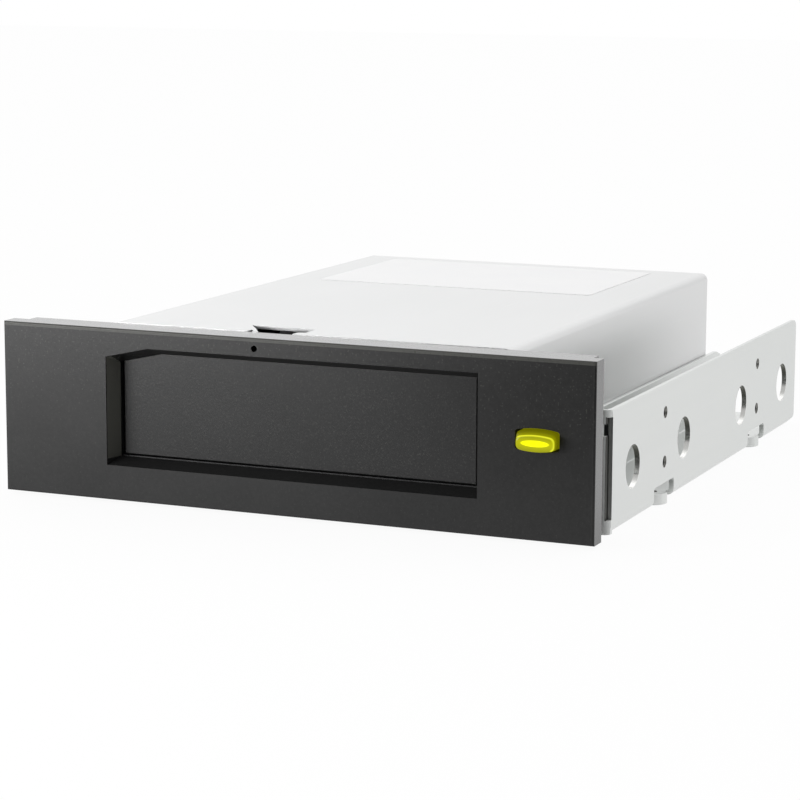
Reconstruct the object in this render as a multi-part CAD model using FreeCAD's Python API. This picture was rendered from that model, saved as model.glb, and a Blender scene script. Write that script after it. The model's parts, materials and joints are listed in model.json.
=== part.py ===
import FreeCAD, Part
import math
import os

V = FreeCAD.Vector

# Internal removable disk drive for a 5.25 inch half-height bay, in millimetres.
# x to the right, y to the rear, z up. The origin is the centre of the four bottom screw holes,
# in the plane of the bosses that they are tapped in.

# Bay mounting pattern
hole_pitch = 79.24         # front to rear screw holes
first_hole = 53.38         # bezel face to the front screw holes
side_low = 10.0            # lower side holes above the bosses
side_high = 21.84          # upper side holes above the bosses
screw_r = 1.45             # tapped M3 hole
boss_inset = 3.175         # bottom holes in from the outer faces, which puts them 139.7 apart

# Clearances
seat = 0.05                # between seated sheets
running = 0.3              # round sliding pieces
pin_fit = 0.05             # round pins and shafts

# Cartridge bay
bay_half = 43.7            # between the guide rails
bay_floor = 10.7
bay_rear = 131.0           # behind the bezel face
guide_wall = 1.6
guide_floor = 1.3
guide_roof = 1.2
rail_height = 2.0
rail_depth = 2.0
pocket_rear = 34.5         # front of the roof, behind the open door
guide_front = 5.4

# Body of the drive, 101.6 wide
side_room = 1.85           # between the guide and the tray's side walls
sheet = 0.8
lid_bend = 1.0
lid_drop = 0.2             # lid below the bezel's top edge
body_front = 10.4          # lid's front edge behind the bezel face
rear_room = 17.5           # rear wall behind the eject gear
body_low = 1.2
tray_side = 15.5           # height of the tray's side walls
stand_height = 2.0         # standoffs under the main board
label_left_gap = 10.8      # label in from the lid's sides and rear edge
label_right_gap = 14.3
label_rear_gap = 5.5
label_long = 51.0

# Bezel
bezel_over = 1.125         # ends past the outer faces of the brackets
bezel_height = 40.8
bezel_lift = 0.8           # bezel's lower edge above the bosses
plate_thick = 4.9
edge_round = 0.4
rim_depth = 10.0           # bezel face to the rear edge of its rim
rim_inset = 3.0            # rim's side walls in from the ends of the plate
rim_wall = 1.4
opening_room = 1.8         # opening's foot outside the rails
slope_side = 1.2           # rise of the opening's slopes
slope_top = 1.8
slope_bottom = 1.4
slope_depth = 4.6
top_band = 4.3             # opening below the bezel's top edge
accent_run = 11.0          # long chamfer across the opening's top left corner
accent_drop = 2.5
pin_hole_r = 0.75
pin_hole_x = -8.1
pin_hole_drop = 2.5        # below the bezel's top edge

# Eject button
button_offset = 1.2125     # inward from the middle between the body and the bracket's face
button_z = 23.3
button_width = 9.7
button_height = 4.7        # over the bulge of its long sides
button_crown = 0.5         # bulge of its long sides
button_corner = 0.35
button_gap = 0.35
button_proud = 3.1
button_face = 3.8          # height of its front face
button_drop = 0.3          # front face below the middle of the root
button_edge = 0.2          # rounded rim of the front face
button_travel = 1.2
shoulder_lip = 1.0
shoulder_thick = 1.0
plunger_r = 1.6
switch_size = 6.0
switch_deep = 3.5
button_board_depth = 11.5
button_board_thick = 1.0
button_board_half = 5.8
button_board_high = 9.6
button_screw_x = 3.2
button_screw_z = 7.2

# Latch notch in the lid
notch_left_rear = -18.1
notch_right_rear = -1.5
notch_left_front = -12.2
notch_right_front = -3.4
notch_depth = 8.8
notch_bow = 0.15           # outward curve of its left side
notch_step = 2.9           # tab at its front right corner
ear_wide = 1.4             # strip between the notch and the small gap beside it

# Door
hinge_drop = 4.2           # hinge axis below the bezel's top edge
door_side_gap = 1.0
door_front = 5.0
door_thick = 1.6
door_foot = 0.5            # lower edge above the opening's foot
door_head = 0.4            # upper edge below the hinge axis
hinge_back = 1.5           # hinge axis behind the door's front face
barrel_r = 1.5
barrel_length = 9.0
hinge_pin_r = 0.8
rib_high = 0.6

# Brackets
bracket_reach = 22.225     # outer face out from the body, which gives 146.05 over both
bracket_sheet = 1.2
bracket_low = 0.45
bracket_high = 28.7
flange_high = 19.1         # inner flange, against the body
bracket_front = 14.5
bracket_past = 11.5        # rear end past the body
flange_short = 1.5         # inner flange ends before the outer plate
front_flange = 13.0        # width of the flange behind the bezel
bend_r = 1.6
access_r = 5.0
access_end = 15.0          # outer access holes from the ends of the plate
access_near = 15.0         # inner access holes from the screw holes
access_z = 13.2            # also the height of the screws that the holes give access to
collar_wall = 0.7          # drawn collars of the tapped side holes
collar_deep = 1.3
boss_r = 3.8
boss_top = 2.6
tab_notch = 15.2
tab_notch_top = 4.9
rear_slope_run = 9.5
rear_slope_rise = 1.0
bend_slot_low = 3.7
bend_slot_high = 27.0
bend_slot_deep = 0.5       # into the outer plate from the front flange
bend_slot_in = 1.0         # into the front flange from the outer plate
window_low = 22.7          # window beside that slot
window_high = 25.5
window_wide = 0.9
wing_thick = 1.2           # bezel's walls that reach back through the front flanges
wing_depth = 24.0

# Eject mechanism
module = 0.6
rack_teeth = 9
pinion_teeth = 12
wheel_teeth = 30
motor_teeth = 12
backlash = 0.16
slide_thick = 1.6
slide_inset = 1.7          # left edge in from the rails
slide_wide = 16.0
slide_reach = 47.0         # front edge before the bay's rear
slide_tail = 5.0           # rear edge past the bay's rear
rack_inset = 8.0           # far side of the rack bar in from the left edge
eject_travel = 10.0
gear_behind = 11.0         # gear behind the bay
wheel_lift = 1.4           # wheel above the rack
wheel_thick = 2.0
axle_r = 1.0
paddle_high = 11.3         # above the bay floor
paddle_thick = 1.6
paddle_wide = 6.0
motor_r = 6.0
motor_high = 15.0
motor_angle = 30.0         # direction from gear to motor shaft, in degrees
shaft_r = 0.75
carrier_lift = 1.1         # plate above the wheel
carrier_thick = 1.2

# Release slide over the door
release_wide = 7.0
release_thick = 1.2
release_front = 7.2
release_rear = 62.0
release_travel = 4.0
release_rod_r = 0.6
release_rod = 12.0
release_post = 2 * release_travel   # gap to the post that the spring bears on
wire_r = 0.15

# Boards and connectors
board_thick = 1.6
board_edge_gap = 0.5       # main board to the walls of the guide
main_before = 3.0          # wide part ends before the bay's rear
main_long = 66.0           # wide part of the main board
main_rear_gap = 2.5        # to the rear edge of the body
step_clear = 5.6           # narrow part of the main board to the motor
plug_inset = 2.4           # rear connector in from the edge of the narrow part
plug_wide = 41.0
plug_deep = 10.0
dock_behind = 3.2          # dock board behind the bay
dock_up = 3.3              # its lower edge above the bay floor
dock_under = 2.0           # its upper edge below the ceiling

face_y = -(first_hole + hole_pitch / 2)
wall_half = bay_half + rail_depth
half_body = wall_half + guide_wall + side_room + 2 * sheet + seat
half_side = half_body + bracket_reach
plate_half = half_side + bezel_over
bezel_top = bezel_lift + bezel_height
body_top = bezel_top - lid_drop
open_rear_half = bay_half + opening_room
open_front_half = open_rear_half + slope_side
open_rear_low = bay_floor - 0.2
open_front_low = open_rear_low - slope_bottom
open_front_high = bezel_top - top_band
open_rear_high = open_front_high - slope_top
pin_hole_z = bezel_top - pin_hole_drop
hinge_y = face_y + door_front + hinge_back
hinge_z = bezel_top - hinge_drop
door_half = wall_half - door_side_gap
door_low = open_rear_low + door_foot
door_top = hinge_z - door_head
bay_ceiling = hinge_z - barrel_r + 0.1
button_x = (half_body + half_side) / 2 - button_offset
slide_low = bay_floor - guide_floor - running - slide_thick
slide_left = -bay_half + slide_inset
slide_right = slide_left + slide_wide
rack_back = slide_left + rack_inset
slide_front = bay_rear - slide_reach
slide_rear = bay_rear + slide_tail
wheel_low = slide_low + slide_thick + wheel_lift
carrier_low = wheel_low + wheel_thick + carrier_lift
gear_depth = bay_rear + gear_behind
gear_y = face_y + gear_depth
pinion_r = module * pinion_teeth / 2
wheel_r = module * wheel_teeth / 2
motor_pinion_r = module * motor_teeth / 2
rack_line = slide_right + 0.5
gear_x = rack_line + pinion_r
motor_reach = wheel_r + motor_pinion_r
motor_x = gear_x + motor_reach * math.cos(math.radians(motor_angle))
motor_y = gear_y + motor_reach * math.sin(math.radians(motor_angle))
body_rear = gear_depth + rear_room
main_step_x = motor_x + motor_r + step_clear
plug_left = main_step_x + plug_inset
plug_right = plug_left + plug_wide
bracket_rear = body_rear + bracket_past
flange_rear = bracket_rear - flange_short
access_depths = (bracket_front + access_end, first_hole + access_near,
                 first_hole + hole_pitch - access_near, bracket_rear - access_end + 1.0)
release_low = pin_hole_z - release_thick / 2
main_low = body_low + sheet + stand_height
main_top = main_low + board_thick
main_half = wall_half - board_edge_gap
main_step = bay_rear - main_before
main_front = main_step - main_long
main_rear = body_rear - main_rear_gap
dock_depth = bay_rear + dock_behind
dock_low = bay_floor + dock_up
dock_high = bay_ceiling - dock_under
paddle_top = bay_floor + paddle_high


def behind(depth):
    return face_y + depth


def box(x0, x1, y0, y1, z0, z1):
    return Part.makeBox(x1 - x0, y1 - y0, z1 - z0, V(x0, y0, z0))


def rod(radius, start, end):
    start, end = V(*start), V(*end)
    return Part.makeCylinder(radius, (end - start).Length, start, end - start)


def along_x(a, b):
    return V(0, a, b)


def along_y(a, b):
    return V(a, 0, b)


def along_z(a, b):
    return V(a, b, 0)


def outline(corners, plane):
    """Closed wire through (a, b, radius) corners, each rounded by an arc of its radius."""
    count = len(corners)
    starts, middles, ends = [], [], []
    for i, (a, b, radius) in enumerate(corners):
        here = FreeCAD.Base.Vector2d(a, b)
        before = FreeCAD.Base.Vector2d(*corners[i - 1][:2])
        after = FreeCAD.Base.Vector2d(*corners[(i + 1) % count][:2])
        back = V(before.x - here.x, before.y - here.y, 0).normalize()
        ahead = V(after.x - here.x, after.y - here.y, 0).normalize()
        half = back.getAngle(ahead) / 2
        reach = radius / math.tan(half) if radius else 0.0
        centre = V(a, b, 0)
        if radius:
            centre += (back + ahead).normalize() * (radius / math.sin(half))
        start = V(a, b, 0) + back * reach
        end = V(a, b, 0) + ahead * reach
        middle = centre + (V(a, b, 0) - centre).normalize() * radius if radius else V(a, b, 0)
        starts.append(start)
        middles.append(middle)
        ends.append(end)
    edges = []
    for i in range(count):
        if corners[i][2]:
            points = [plane(p.x, p.y) for p in (starts[i], middles[i], ends[i])]
            edges.append(Part.Arc(*points).toShape())
        p, q = ends[i], starts[(i + 1) % count]
        if (p - q).Length > 1e-7:
            edges.append(Part.LineSegment(plane(p.x, p.y), plane(q.x, q.y)).toShape())
    return Part.Wire(edges)


def prism(corners, plane, low, high):
    """Rounded outline in one plane, extruded along that plane's normal from low to high."""
    normal = plane(1, 0).cross(plane(0, 1))
    axis = V(abs(normal.x), abs(normal.y), abs(normal.z))
    wire = outline(corners, plane)
    wire.translate(axis * low)
    return Part.Face(wire).extrude(axis * (high - low))


def rectangle(a0, a1, b0, b1, radius=0.0):
    return [(a0, b0, radius), (a1, b0, radius), (a1, b1, radius), (a0, b1, radius)]


def edges_where(shape, test):
    chosen = []
    for edge in shape.Edges:
        bounds = edge.BoundBox
        if test(bounds):
            chosen.append(edge)
    return chosen


def mirrored(shape):
    return shape.mirror(V(0, 0, 0), V(1, 0, 0))


def opening_outline(half, low, high):
    """Opening with a long shallow chamfer at its top left corner."""
    return [(-half, low, 0), (half, low, 0), (half, high, 0), (-half + accent_run, high, 0),
            (-half, high - accent_drop, 0)]


def barrel_outline(width, height, drop=0.0):
    """Button's outline: long sides bowed outward, corners cut."""
    w, h = width / 2, height / 2 - button_crown
    cut = button_corner
    middle = button_z - drop
    points = [(-w, -h + cut), (-w + cut, -h), (w - cut, -h), (w, -h + cut),
              (w, h - cut), (w - cut, h), (-w + cut, h), (-w, h - cut)]
    at = [V(button_x + a, 0, middle + b) for a, b in points]
    low_bow = V(button_x, 0, middle - h - button_crown)
    high_bow = V(button_x, 0, middle + h + button_crown)
    edges = [Part.LineSegment(at[0], at[1]).toShape(), Part.Arc(at[1], low_bow, at[2]).toShape(),
             Part.LineSegment(at[2], at[3]).toShape(), Part.LineSegment(at[3], at[4]).toShape(),
             Part.LineSegment(at[4], at[5]).toShape(), Part.Arc(at[5], high_bow, at[6]).toShape(),
             Part.LineSegment(at[6], at[7]).toShape(), Part.LineSegment(at[7], at[0]).toShape()]
    return Part.Wire(edges)


def barrel_prism(width, height, start, end):
    wire = barrel_outline(width, height)
    wire.translate(V(0, behind(start), 0))
    return Part.Face(wire).extrude(V(0, end - start, 0))


def bezel_hooks():
    """Side arms that snap into the tray, the top latch in the lid's notch, and the wing hooks."""
    arm_out = half_body - 2 * sheet - 2 * seat - 0.1
    side = box(arm_out - 1.1, arm_out, behind(plate_thick - 0.2), behind(24), 4.5, 9.5)
    barb = prism([(arm_out - 0.2, behind(20), 0), (arm_out + 0.75, behind(20), 0),
                  (arm_out - 0.2, behind(23.6), 0)],
                 along_z, 5.0, 9.0)
    side = side.fuse(barb)
    latch_left = notch_left_front + 3.4
    latch_right = notch_right_front - 2.0
    latch_low = bezel_top - running - rim_wall
    latch = box(latch_left, latch_right, behind(rim_depth - 1), behind(17.5), latch_low, latch_low + 0.6)
    tooth = prism([(behind(15.0), latch_low + 0.4, 0), (behind(17.5), latch_low + 0.4, 0),
                   (behind(15.0), body_top - 0.1, 0)], along_x, latch_left, latch_right)
    wing_x = half_side - bracket_sheet - bend_r
    wing = box(wing_x - wing_thick, wing_x, behind(plate_thick - 0.2), behind(wing_depth),
               bend_slot_low + 2 * running, bend_slot_high - 2 * running)
    return [side, mirrored(side), latch.fuse(tooth), wing, mirrored(wing)]


def board_posts():
    """Two posts behind the right wing for the button board, with pilot holes."""
    posts = []
    for x, z in button_board_screws():
        post = rod(2.2, (x, behind(plate_thick - 0.2), z), (x, behind(button_board_depth), z))
        posts.append(post.cut(rod(0.8, (x, behind(plate_thick + 1.5), z),
                                  (x, behind(button_board_depth), z))))
    return posts


def button_board_screws():
    return [(button_x + side * button_screw_x, button_z + side * button_screw_z) for side in (-1, 1)]


def make_bezel():
    plate = box(-plate_half, plate_half, behind(0), behind(plate_thick), bezel_lift, bezel_top)
    front = edges_where(plate, lambda b: b.YMax < behind(0) + 1e-6)
    plate = plate.makeFillet(edge_round, front)
    rim_half = plate_half - rim_inset
    rim_top = bezel_top - running
    rim = box(-rim_half, rim_half, behind(plate_thick - 0.2), behind(rim_depth), bezel_lift + running,
              rim_top)
    hollow = box(-rim_half + rim_wall, rim_half - rim_wall, behind(plate_thick - 0.2),
                 behind(rim_depth) + 1,
                 bezel_lift + running + rim_wall, rim_top - rim_wall)
    # the rim leaves a gap under the body for the tray and beside it for the brackets
    shape = plate.fuse(rim.cut(hollow))
    for hook in bezel_hooks() + board_posts():
        shape = shape.fuse(hook)
    front_wire = outline(opening_outline(open_front_half, open_front_low, open_front_high), along_y)
    rear_wire = outline(opening_outline(open_rear_half, open_rear_low, open_rear_high), along_y)
    front_wire.translate(V(0, behind(0) - 0.001, 0))
    rear_wire.translate(V(0, behind(slope_depth), 0))
    shape = shape.cut(Part.makeLoft([front_wire, rear_wire], True, True))
    # behind the slopes the plate opens wider, up to the hinge line
    shape = shape.cut(box(-open_rear_half, open_rear_half, behind(slope_depth) - 0.001,
                          behind(plate_thick) + 0.1,
                          open_rear_low, open_rear_high))
    pocket = box(-door_half - 3, door_half + 3, behind(door_front - 0.3), behind(plate_thick) + 0.1,
                 hinge_z - barrel_r - 0.4, hinge_z + barrel_r + 0.4)
    shape = shape.cut(pocket)
    hole = barrel_prism(button_width + 2 * button_gap, button_height + 2 * button_gap, -1, plate_thick + 1)
    shape = shape.cut(hole)
    shape = shape.cut(rod(pin_hole_r, (pin_hole_x, behind(-1), pin_hole_z),
                          (pin_hole_x, behind(plate_thick + 1), pin_hole_z)))
    return shape.removeSplitter()


def make_door():
    bottom = door_low
    top = door_top
    front, rear = behind(door_front), behind(door_front + door_thick)
    panel = box(-door_half, door_half, front, rear, bottom, top)
    face_edges = edges_where(panel, lambda b: b.YMax < front + 1e-6)
    panel = panel.makeChamfer(0.3, face_edges)
    for x in (-0.62, -0.25, 0.25, 0.62):
        rib = box(x * door_half - 0.5, x * door_half + 0.5, rear - 0.1, rear + rib_high, bottom + 2,
                  top - 3)
        panel = panel.fuse(rib)
    panel = panel.fuse(box(-door_half + 1, door_half - 1, rear - 0.1, rear + rib_high, bottom + 1,
                           bottom + 2.2))
    # the top edge is cut away beside the barrels so that the pin and spring lie clear
    clear = hinge_pin_r + 0.35
    middle = door_half - barrel_length
    panel = panel.cut(rod(clear + 0.6, (-middle, hinge_y, hinge_z), (middle, hinge_y, hinge_z)))
    for side in (-1, 1):
        outer = side * (door_half - 0.2)
        inner = side * (door_half - barrel_length)
        knuckle = rod(barrel_r, (outer, hinge_y, hinge_z), (inner, hinge_y, hinge_z))
        web = box(min(outer, inner), max(outer, inner), front, rear, top - 0.5, hinge_z)
        panel = panel.fuse(knuckle).fuse(web)
    bore = rod(hinge_pin_r + pin_fit, (-door_half - 1, hinge_y, hinge_z), (door_half + 1, hinge_y, hinge_z))
    return panel.cut(bore).removeSplitter()


def make_hinge_pin():
    reach = bay_half + rail_depth + guide_wall - 0.1
    return rod(hinge_pin_r, (-reach, hinge_y, hinge_z), (reach, hinge_y, hinge_z))


def coil(start, direction, radius, pitch, turns, wire):
    """Round wire wound in half turns that lean alternately, so that they join smoothly; axis in direction."""
    faces = []
    for i in range(2 * turns):
        side = 1 if i % 2 == 0 else -1
        low = V(side * radius, 0, i * pitch / 2)
        centre = V(0, 0, (i + 0.5) * pitch / 2)
        section = Part.makeCircle(wire, low, V(0, 1, 0))
        faces += section.revolve(centre, (low - centre).cross(V(0, side, 0)), 180).Faces
    for height in (0, turns * pitch):
        faces.append(Part.Face(Part.Wire(Part.makeCircle(wire, V(radius, 0, height), V(0, 1, 0)))))
    shell = Part.makeShell(faces)
    shell.sewShape()
    solid = Part.makeSolid(shell)
    solid.Placement = FreeCAD.Placement(V(*start), FreeCAD.Rotation(V(0, 0, 1), V(*direction)))
    return solid


def make_door_spring():
    """Torsion spring round the hinge pin: coil, one leg on the door's back, one to the roof."""
    radius = hinge_pin_r + 0.35 + wire_r
    start_x = -door_half + barrel_length + 1.0
    pitch = 2 * wire_r + 0.35
    turns = 5
    body = coil((start_x, hinge_y, hinge_z), (1, 0, 0), radius, pitch, turns, wire_r)
    end_x = start_x + pitch * turns
    rear = behind(door_front + door_thick) + wire_r + 0.05
    lower = rod(wire_r, (start_x, rear, hinge_z - 0.9), (start_x, rear, hinge_z - 8))
    upper = rod(wire_r, (end_x, hinge_y, hinge_z + radius), (end_x, hinge_y + 9, hinge_z + radius))
    return Part.makeCompound([body, lower, upper])


def make_eject_button():
    front = barrel_outline(button_width - 0.2 - 2 * button_edge, button_face - 2 * button_edge, button_drop)
    brow = barrel_outline(button_width - 0.2, button_face, button_drop)
    root = barrel_outline(button_width, button_height)
    front.translate(V(0, behind(-button_proud), 0))
    brow.translate(V(0, behind(-button_proud + button_edge), 0))
    root.translate(V(0, behind(0), 0))
    cap = Part.makeLoft([front, brow], True).fuse(Part.makeLoft([brow, root], True))
    cap = cap.fuse(barrel_prism(button_width, button_height, 0, plate_thick + 0.1))
    shoulder_y = plate_thick + 0.1
    shoulder = barrel_prism(button_width + 2 * shoulder_lip, button_height + 2 * shoulder_lip, shoulder_y,
                            shoulder_y + shoulder_thick)
    stem = rod(1.5, (button_x, behind(shoulder_y), button_z), (button_x, behind(plunger_front()), button_z))
    return cap.fuse(shoulder).fuse(stem).removeSplitter()


def switch_front():
    return button_board_depth - switch_deep


def plunger_front():
    return switch_front() - button_travel + 0.1


def make_switch_plunger():
    return rod(plunger_r, (button_x, behind(plunger_front()), button_z),
               (button_x, behind(switch_front() + 1.3), button_z))


def make_tact_switch():
    half = switch_size / 2
    body = box(button_x - half, button_x + half, behind(switch_front()), behind(button_board_depth),
               button_z - half, button_z + half)
    upright = edges_where(body, lambda b: b.XLength < 1e-6 and b.ZLength < 1e-6)
    body = body.makeChamfer(0.5, upright)
    bore = rod(plunger_r + running, (button_x, behind(switch_front()) - 1, button_z),
               (button_x, behind(button_board_depth - 0.5), button_z))
    return body.cut(bore)


def make_button_board():
    half, high = button_board_half, button_board_high
    board = prism(rectangle(button_x - half, button_x + half, button_z - high, button_z + high, 1.0),
                  along_y,
                  behind(button_board_depth), behind(button_board_depth + button_board_thick))
    for x, z in button_board_screws():
        board = board.cut(rod(1.1, (x, behind(button_board_depth) - 1, z),
                              (x, behind(button_board_depth) + 3, z)))
    return board


def make_status_led():
    lamps = []
    for side in (-1, 1):
        x = button_x + side * (switch_size / 2 + 1.6)
        lamps.append(box(x - 0.7, x + 0.7, behind(button_board_depth - 1.0), behind(button_board_depth),
                         button_z - 1.5, button_z + 1.5))
    return Part.makeCompound(lamps)


def make_top_cover():
    """Lid folded from one sheet: top, two sides, and a notch at the front."""
    top, low = body_top, body_low + 0.2
    outer = [(-half_body, low, 0), (half_body, low, 0), (half_body, top, lid_bend + sheet),
             (-half_body, top, lid_bend + sheet)]
    inner_half = half_body - sheet
    inner = [(-inner_half, low - 1, 0), (inner_half, low - 1, 0), (inner_half, top - sheet, lid_bend),
             (-inner_half, top - sheet, lid_bend)]
    front, rear = behind(body_front), behind(body_rear)
    lid = prism(outer, along_y, front, rear).cut(prism(inner, along_y, front - 1, rear + 1))
    notch_rear = behind(body_front + notch_depth)
    middle_x = (notch_left_rear + notch_left_front) / 2
    middle_y = (notch_rear + front) / 2
    notch = [(notch_left_rear, notch_rear, 0.3), (middle_x + notch_bow, middle_y + notch_bow, 6.0),
             (notch_left_front, front, 0), (notch_left_front, front - 1, 0),
             (notch_right_front, front - 1, 0),
             (notch_right_front, front + notch_step, 0.9),
             (notch_right_rear, front + notch_step + 0.4, 0.2),
             (notch_right_rear, notch_rear, 0.5)]
    lid = lid.cut(prism(notch, along_z, top - 3, top + 1))
    # small gap beside the ear, open to the front
    gap_right = notch_left_front - ear_wide
    gap = [(gap_right - 1.4, front - 1, 0), (gap_right, front - 1, 0), (gap_right, front + 0.8, 0),
           (gap_right - 1.4, front + 2.2, 0)]
    lid = lid.cut(prism(gap, along_z, top - 3, top + 1))
    for side in (-1, 1):
        for depth in bracket_screw_depths():
            x = side * half_body
            lid = lid.cut(rod(1.7, (x - side * 2, behind(depth), access_z),
                              (x + side, behind(depth), access_z)))
    return lid.removeSplitter()


def bracket_screw_depths():
    return (access_depths[0], access_depths[2])


def make_blank_label():
    rear = behind(body_rear - label_rear_gap)
    return prism(rectangle(-half_body + label_left_gap, half_body - label_right_gap, rear - label_long,
                           rear, 1.5),
                 along_z, body_top, body_top + 0.1)


def rear_cut():
    return box(plug_left - 0.6, plug_right + 0.6, behind(body_rear) - 3, behind(body_rear) + 1,
               main_top - 0.6,
               main_top + 7.4)


def make_bottom_tray():
    """Pan with folded sides, a rear wall with the connector's cut-out, standoffs and screw holes."""
    wall_out = half_body - sheet - seat
    front, rear = behind(rim_depth + 1.0), behind(body_rear)
    outer = [(-wall_out, body_low, lid_bend + sheet), (wall_out, body_low, lid_bend + sheet),
             (wall_out, body_low + tray_side, 0), (-wall_out, body_low + tray_side, 0)]
    wall_in = wall_out - sheet
    inner = [(-wall_in, body_low + sheet, lid_bend), (wall_in, body_low + sheet, lid_bend),
             (wall_in, body_low + tray_side + 1, 0), (-wall_in, body_low + tray_side + 1, 0)]
    pan = prism(outer, along_y, front, rear).cut(prism(inner, along_y, front - 1, rear + 1))
    lid_under = body_top - sheet - seat
    wall = box(-wall_out + lid_bend, wall_out - lid_bend, rear - sheet, rear, body_low, lid_under)
    pan = pan.fuse(wall).cut(rear_cut())
    for x, depth in board_screw_places():
        pan = pan.fuse(rod(2.4, (x, behind(depth), body_low + sheet - 0.1), (x, behind(depth), main_low)))
        pan = pan.cut(rod(1.0, (x, behind(depth), body_low - 1), (x, behind(depth), main_low + 1)))
    for side in (-1, 1):
        for depth in bracket_screw_depths():
            pan = pan.cut(rod(1.25, (side * (wall_in - 1), behind(depth), access_z),
                              (side * (wall_out + 1), behind(depth), access_z)))
        pan = pan.cut(box(min(side * (wall_in - 1), side * (wall_out + 1)),
                          max(side * (wall_in - 1), side * (wall_out + 1)),
                          behind(19.4), behind(24.2), 4.6, 9.4))
    for i in range(9):
        x = (i - 4) * 7.0
        pan = pan.cut(prism(rectangle(x - 1.1, x + 1.1, behind(36), behind(54), 1.05), along_z,
                            body_low - 1, body_low + 2))
    return pan.removeSplitter()


def board_screw_places():
    edge = main_half - 4.5
    return [(-edge, main_front + 6), (edge, main_front + 6), (slide_left + 8, main_step - 6),
            (edge, main_step - 6),
            (edge, main_rear - 14)]


def channel_section(half_out, low, high, flange_top):
    """Bracket in cross-section: inner flange, web and outer plate, with rounded bends."""
    inside = half_body + seat
    t = bracket_sheet
    return [(inside, flange_top, 0.3), (inside, low, bend_r), (half_out, low, bend_r),
            (half_out, high, 0.3),
            (half_out - t, high, 0.3), (half_out - t, low + t, bend_r - t),
            (inside + t, low + t, bend_r - t),
            (inside + t, flange_top, 0.3)]


def side_hole_places():
    places = []
    for y in (-hole_pitch / 2, hole_pitch / 2):
        for z in (side_low, side_high):
            places.append((y, z))
    return places


def make_right_bracket():
    """Folded channel: inner flange screwed to the body, web with tapped bosses, outer plate with
    access holes, tapped holes and tab notches, and a front flange behind the bezel."""
    t = bracket_sheet
    inside = half_body + seat
    front, rear = behind(bracket_front), behind(bracket_rear)
    channel = prism(channel_section(half_side, bracket_low, bracket_high, flange_high), along_y, front,
                    rear)
    # outline of the outer plate seen from the side: rounded top corners, sloped rear bottom corner
    side = [(front - t, bracket_low - 3, 0), (rear - rear_slope_run, bracket_low - 3, 0),
            (rear - rear_slope_run, bracket_low, 4.0), (rear, bracket_low + rear_slope_rise, 1.6),
            (rear, bracket_high, 2.5),
            (front - t, bracket_high, 2.5)]
    channel = channel.common(prism(side, along_x, inside - 1, half_side + 1))
    # inner flange is shorter, with a rounded top rear corner
    cut_rear = [(behind(flange_rear), -3, 0), (rear + 5, -3, 0), (rear + 5, flange_high + 5, 0),
                (behind(flange_rear) - 4, flange_high + 5, 0), (behind(flange_rear) - 4, flange_high, 0),
                (behind(flange_rear), flange_high - 1.2, 0)]
    channel = channel.cut(prism(cut_rear, along_x, inside - 1, inside + t + 0.01))
    # front flange turned in from the outer plate round an open bend
    flange = [(half_side - front_flange, front - t, 0), (half_side, front - t, bend_r),
              (half_side, front + 1.5, 0),
              (half_side - t, front + 1.5, 0), (half_side - t, front, bend_r - t),
              (half_side - front_flange, front, 0)]
    flange_solid = prism(flange, along_z, bracket_low, bracket_high)
    face = [(half_side - front_flange, bracket_low, 1.0), (half_side + 1, bracket_low, 0),
            (half_side + 1, bracket_high, 0),
            (half_side - front_flange, bracket_high, 2.0)]
    flange_solid = flange_solid.common(prism(face, along_y, front - t - 1, front + 1))
    channel = channel.fuse(flange_solid)
    slot_x = half_side - bend_slot_in
    channel = channel.cut(prism(rectangle(slot_x, half_side + 1, bend_slot_low, bend_slot_high), along_y,
                                front - t - 1, front + bend_slot_deep))
    channel = channel.cut(box(slot_x - window_wide, slot_x + 0.1, front - t - 1, front + 1, window_low,
                              window_high))
    wing_x = half_side - t - bend_r
    channel = channel.cut(box(wing_x - wing_thick - running, wing_x + running, front - t - 1, front + 1,
                              bend_slot_low + running, bend_slot_high - running))
    for y in (-hole_pitch / 2, hole_pitch / 2):
        notch = prism([(y - tab_notch / 2, bracket_low - 5, 0), (y + tab_notch / 2, bracket_low - 5, 0),
                       (y + tab_notch / 2, tab_notch_top, 0.8), (y - tab_notch / 2, tab_notch_top, 0.8)],
                      along_x,
                      half_side - t - 0.4, half_side + 1)
        channel = channel.cut(notch)
        x = half_side - boss_inset
        tab = prism([(half_side - 5 - boss_r, y - boss_r, 0), (x, y - boss_r, 0), (x, y + boss_r, 0),
                     (half_side - 5 - boss_r, y + boss_r, 0)], along_z, bracket_low, bracket_low + t)
        channel = channel.fuse(tab)
        channel = channel.fuse(rod(boss_r, (x, y, 0), (x, y, boss_top)))
        channel = channel.cut(rod(screw_r, (x, y, -1), (x, y, boss_top + 1)))
    for y, z in side_hole_places():
        channel = channel.fuse(rod(screw_r + collar_wall, (half_side - t - collar_deep, y, z),
                                   (half_side - 0.1, y, z)))
        channel = channel.cut(rod(screw_r, (half_side - t - collar_deep - 1, y, z), (half_side + 1, y, z)))
    for depth in access_depths:
        channel = channel.cut(rod(access_r, (half_side - 5, behind(depth), access_z),
                                  (half_side + 1, behind(depth), access_z)))
    for depth in bracket_screw_depths():
        channel = channel.cut(rod(1.7, (inside - 1, behind(depth), access_z),
                                  (inside + t + 1, behind(depth), access_z)))
    return channel.removeSplitter()


def make_bracket_screws():
    """Pan-head screws that hold the inner flanges to the body."""
    screws = []
    z = access_z
    for depth in bracket_screw_depths():
        y = behind(depth)
        face = half_body + seat + bracket_sheet
        head = rod(2.8, (face, y, z), (face + 1.9, y, z))
        rim = edges_where(head, lambda b: b.XMin > face + 1.8)
        head = head.makeFillet(0.9, rim)
        screw = head.fuse(rod(1.2, (face, y, z), (half_body - 2 * sheet - 1.0, y, z)))
        screws += [screw, mirrored(screw)]
    return Part.makeCompound(screws)


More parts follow.
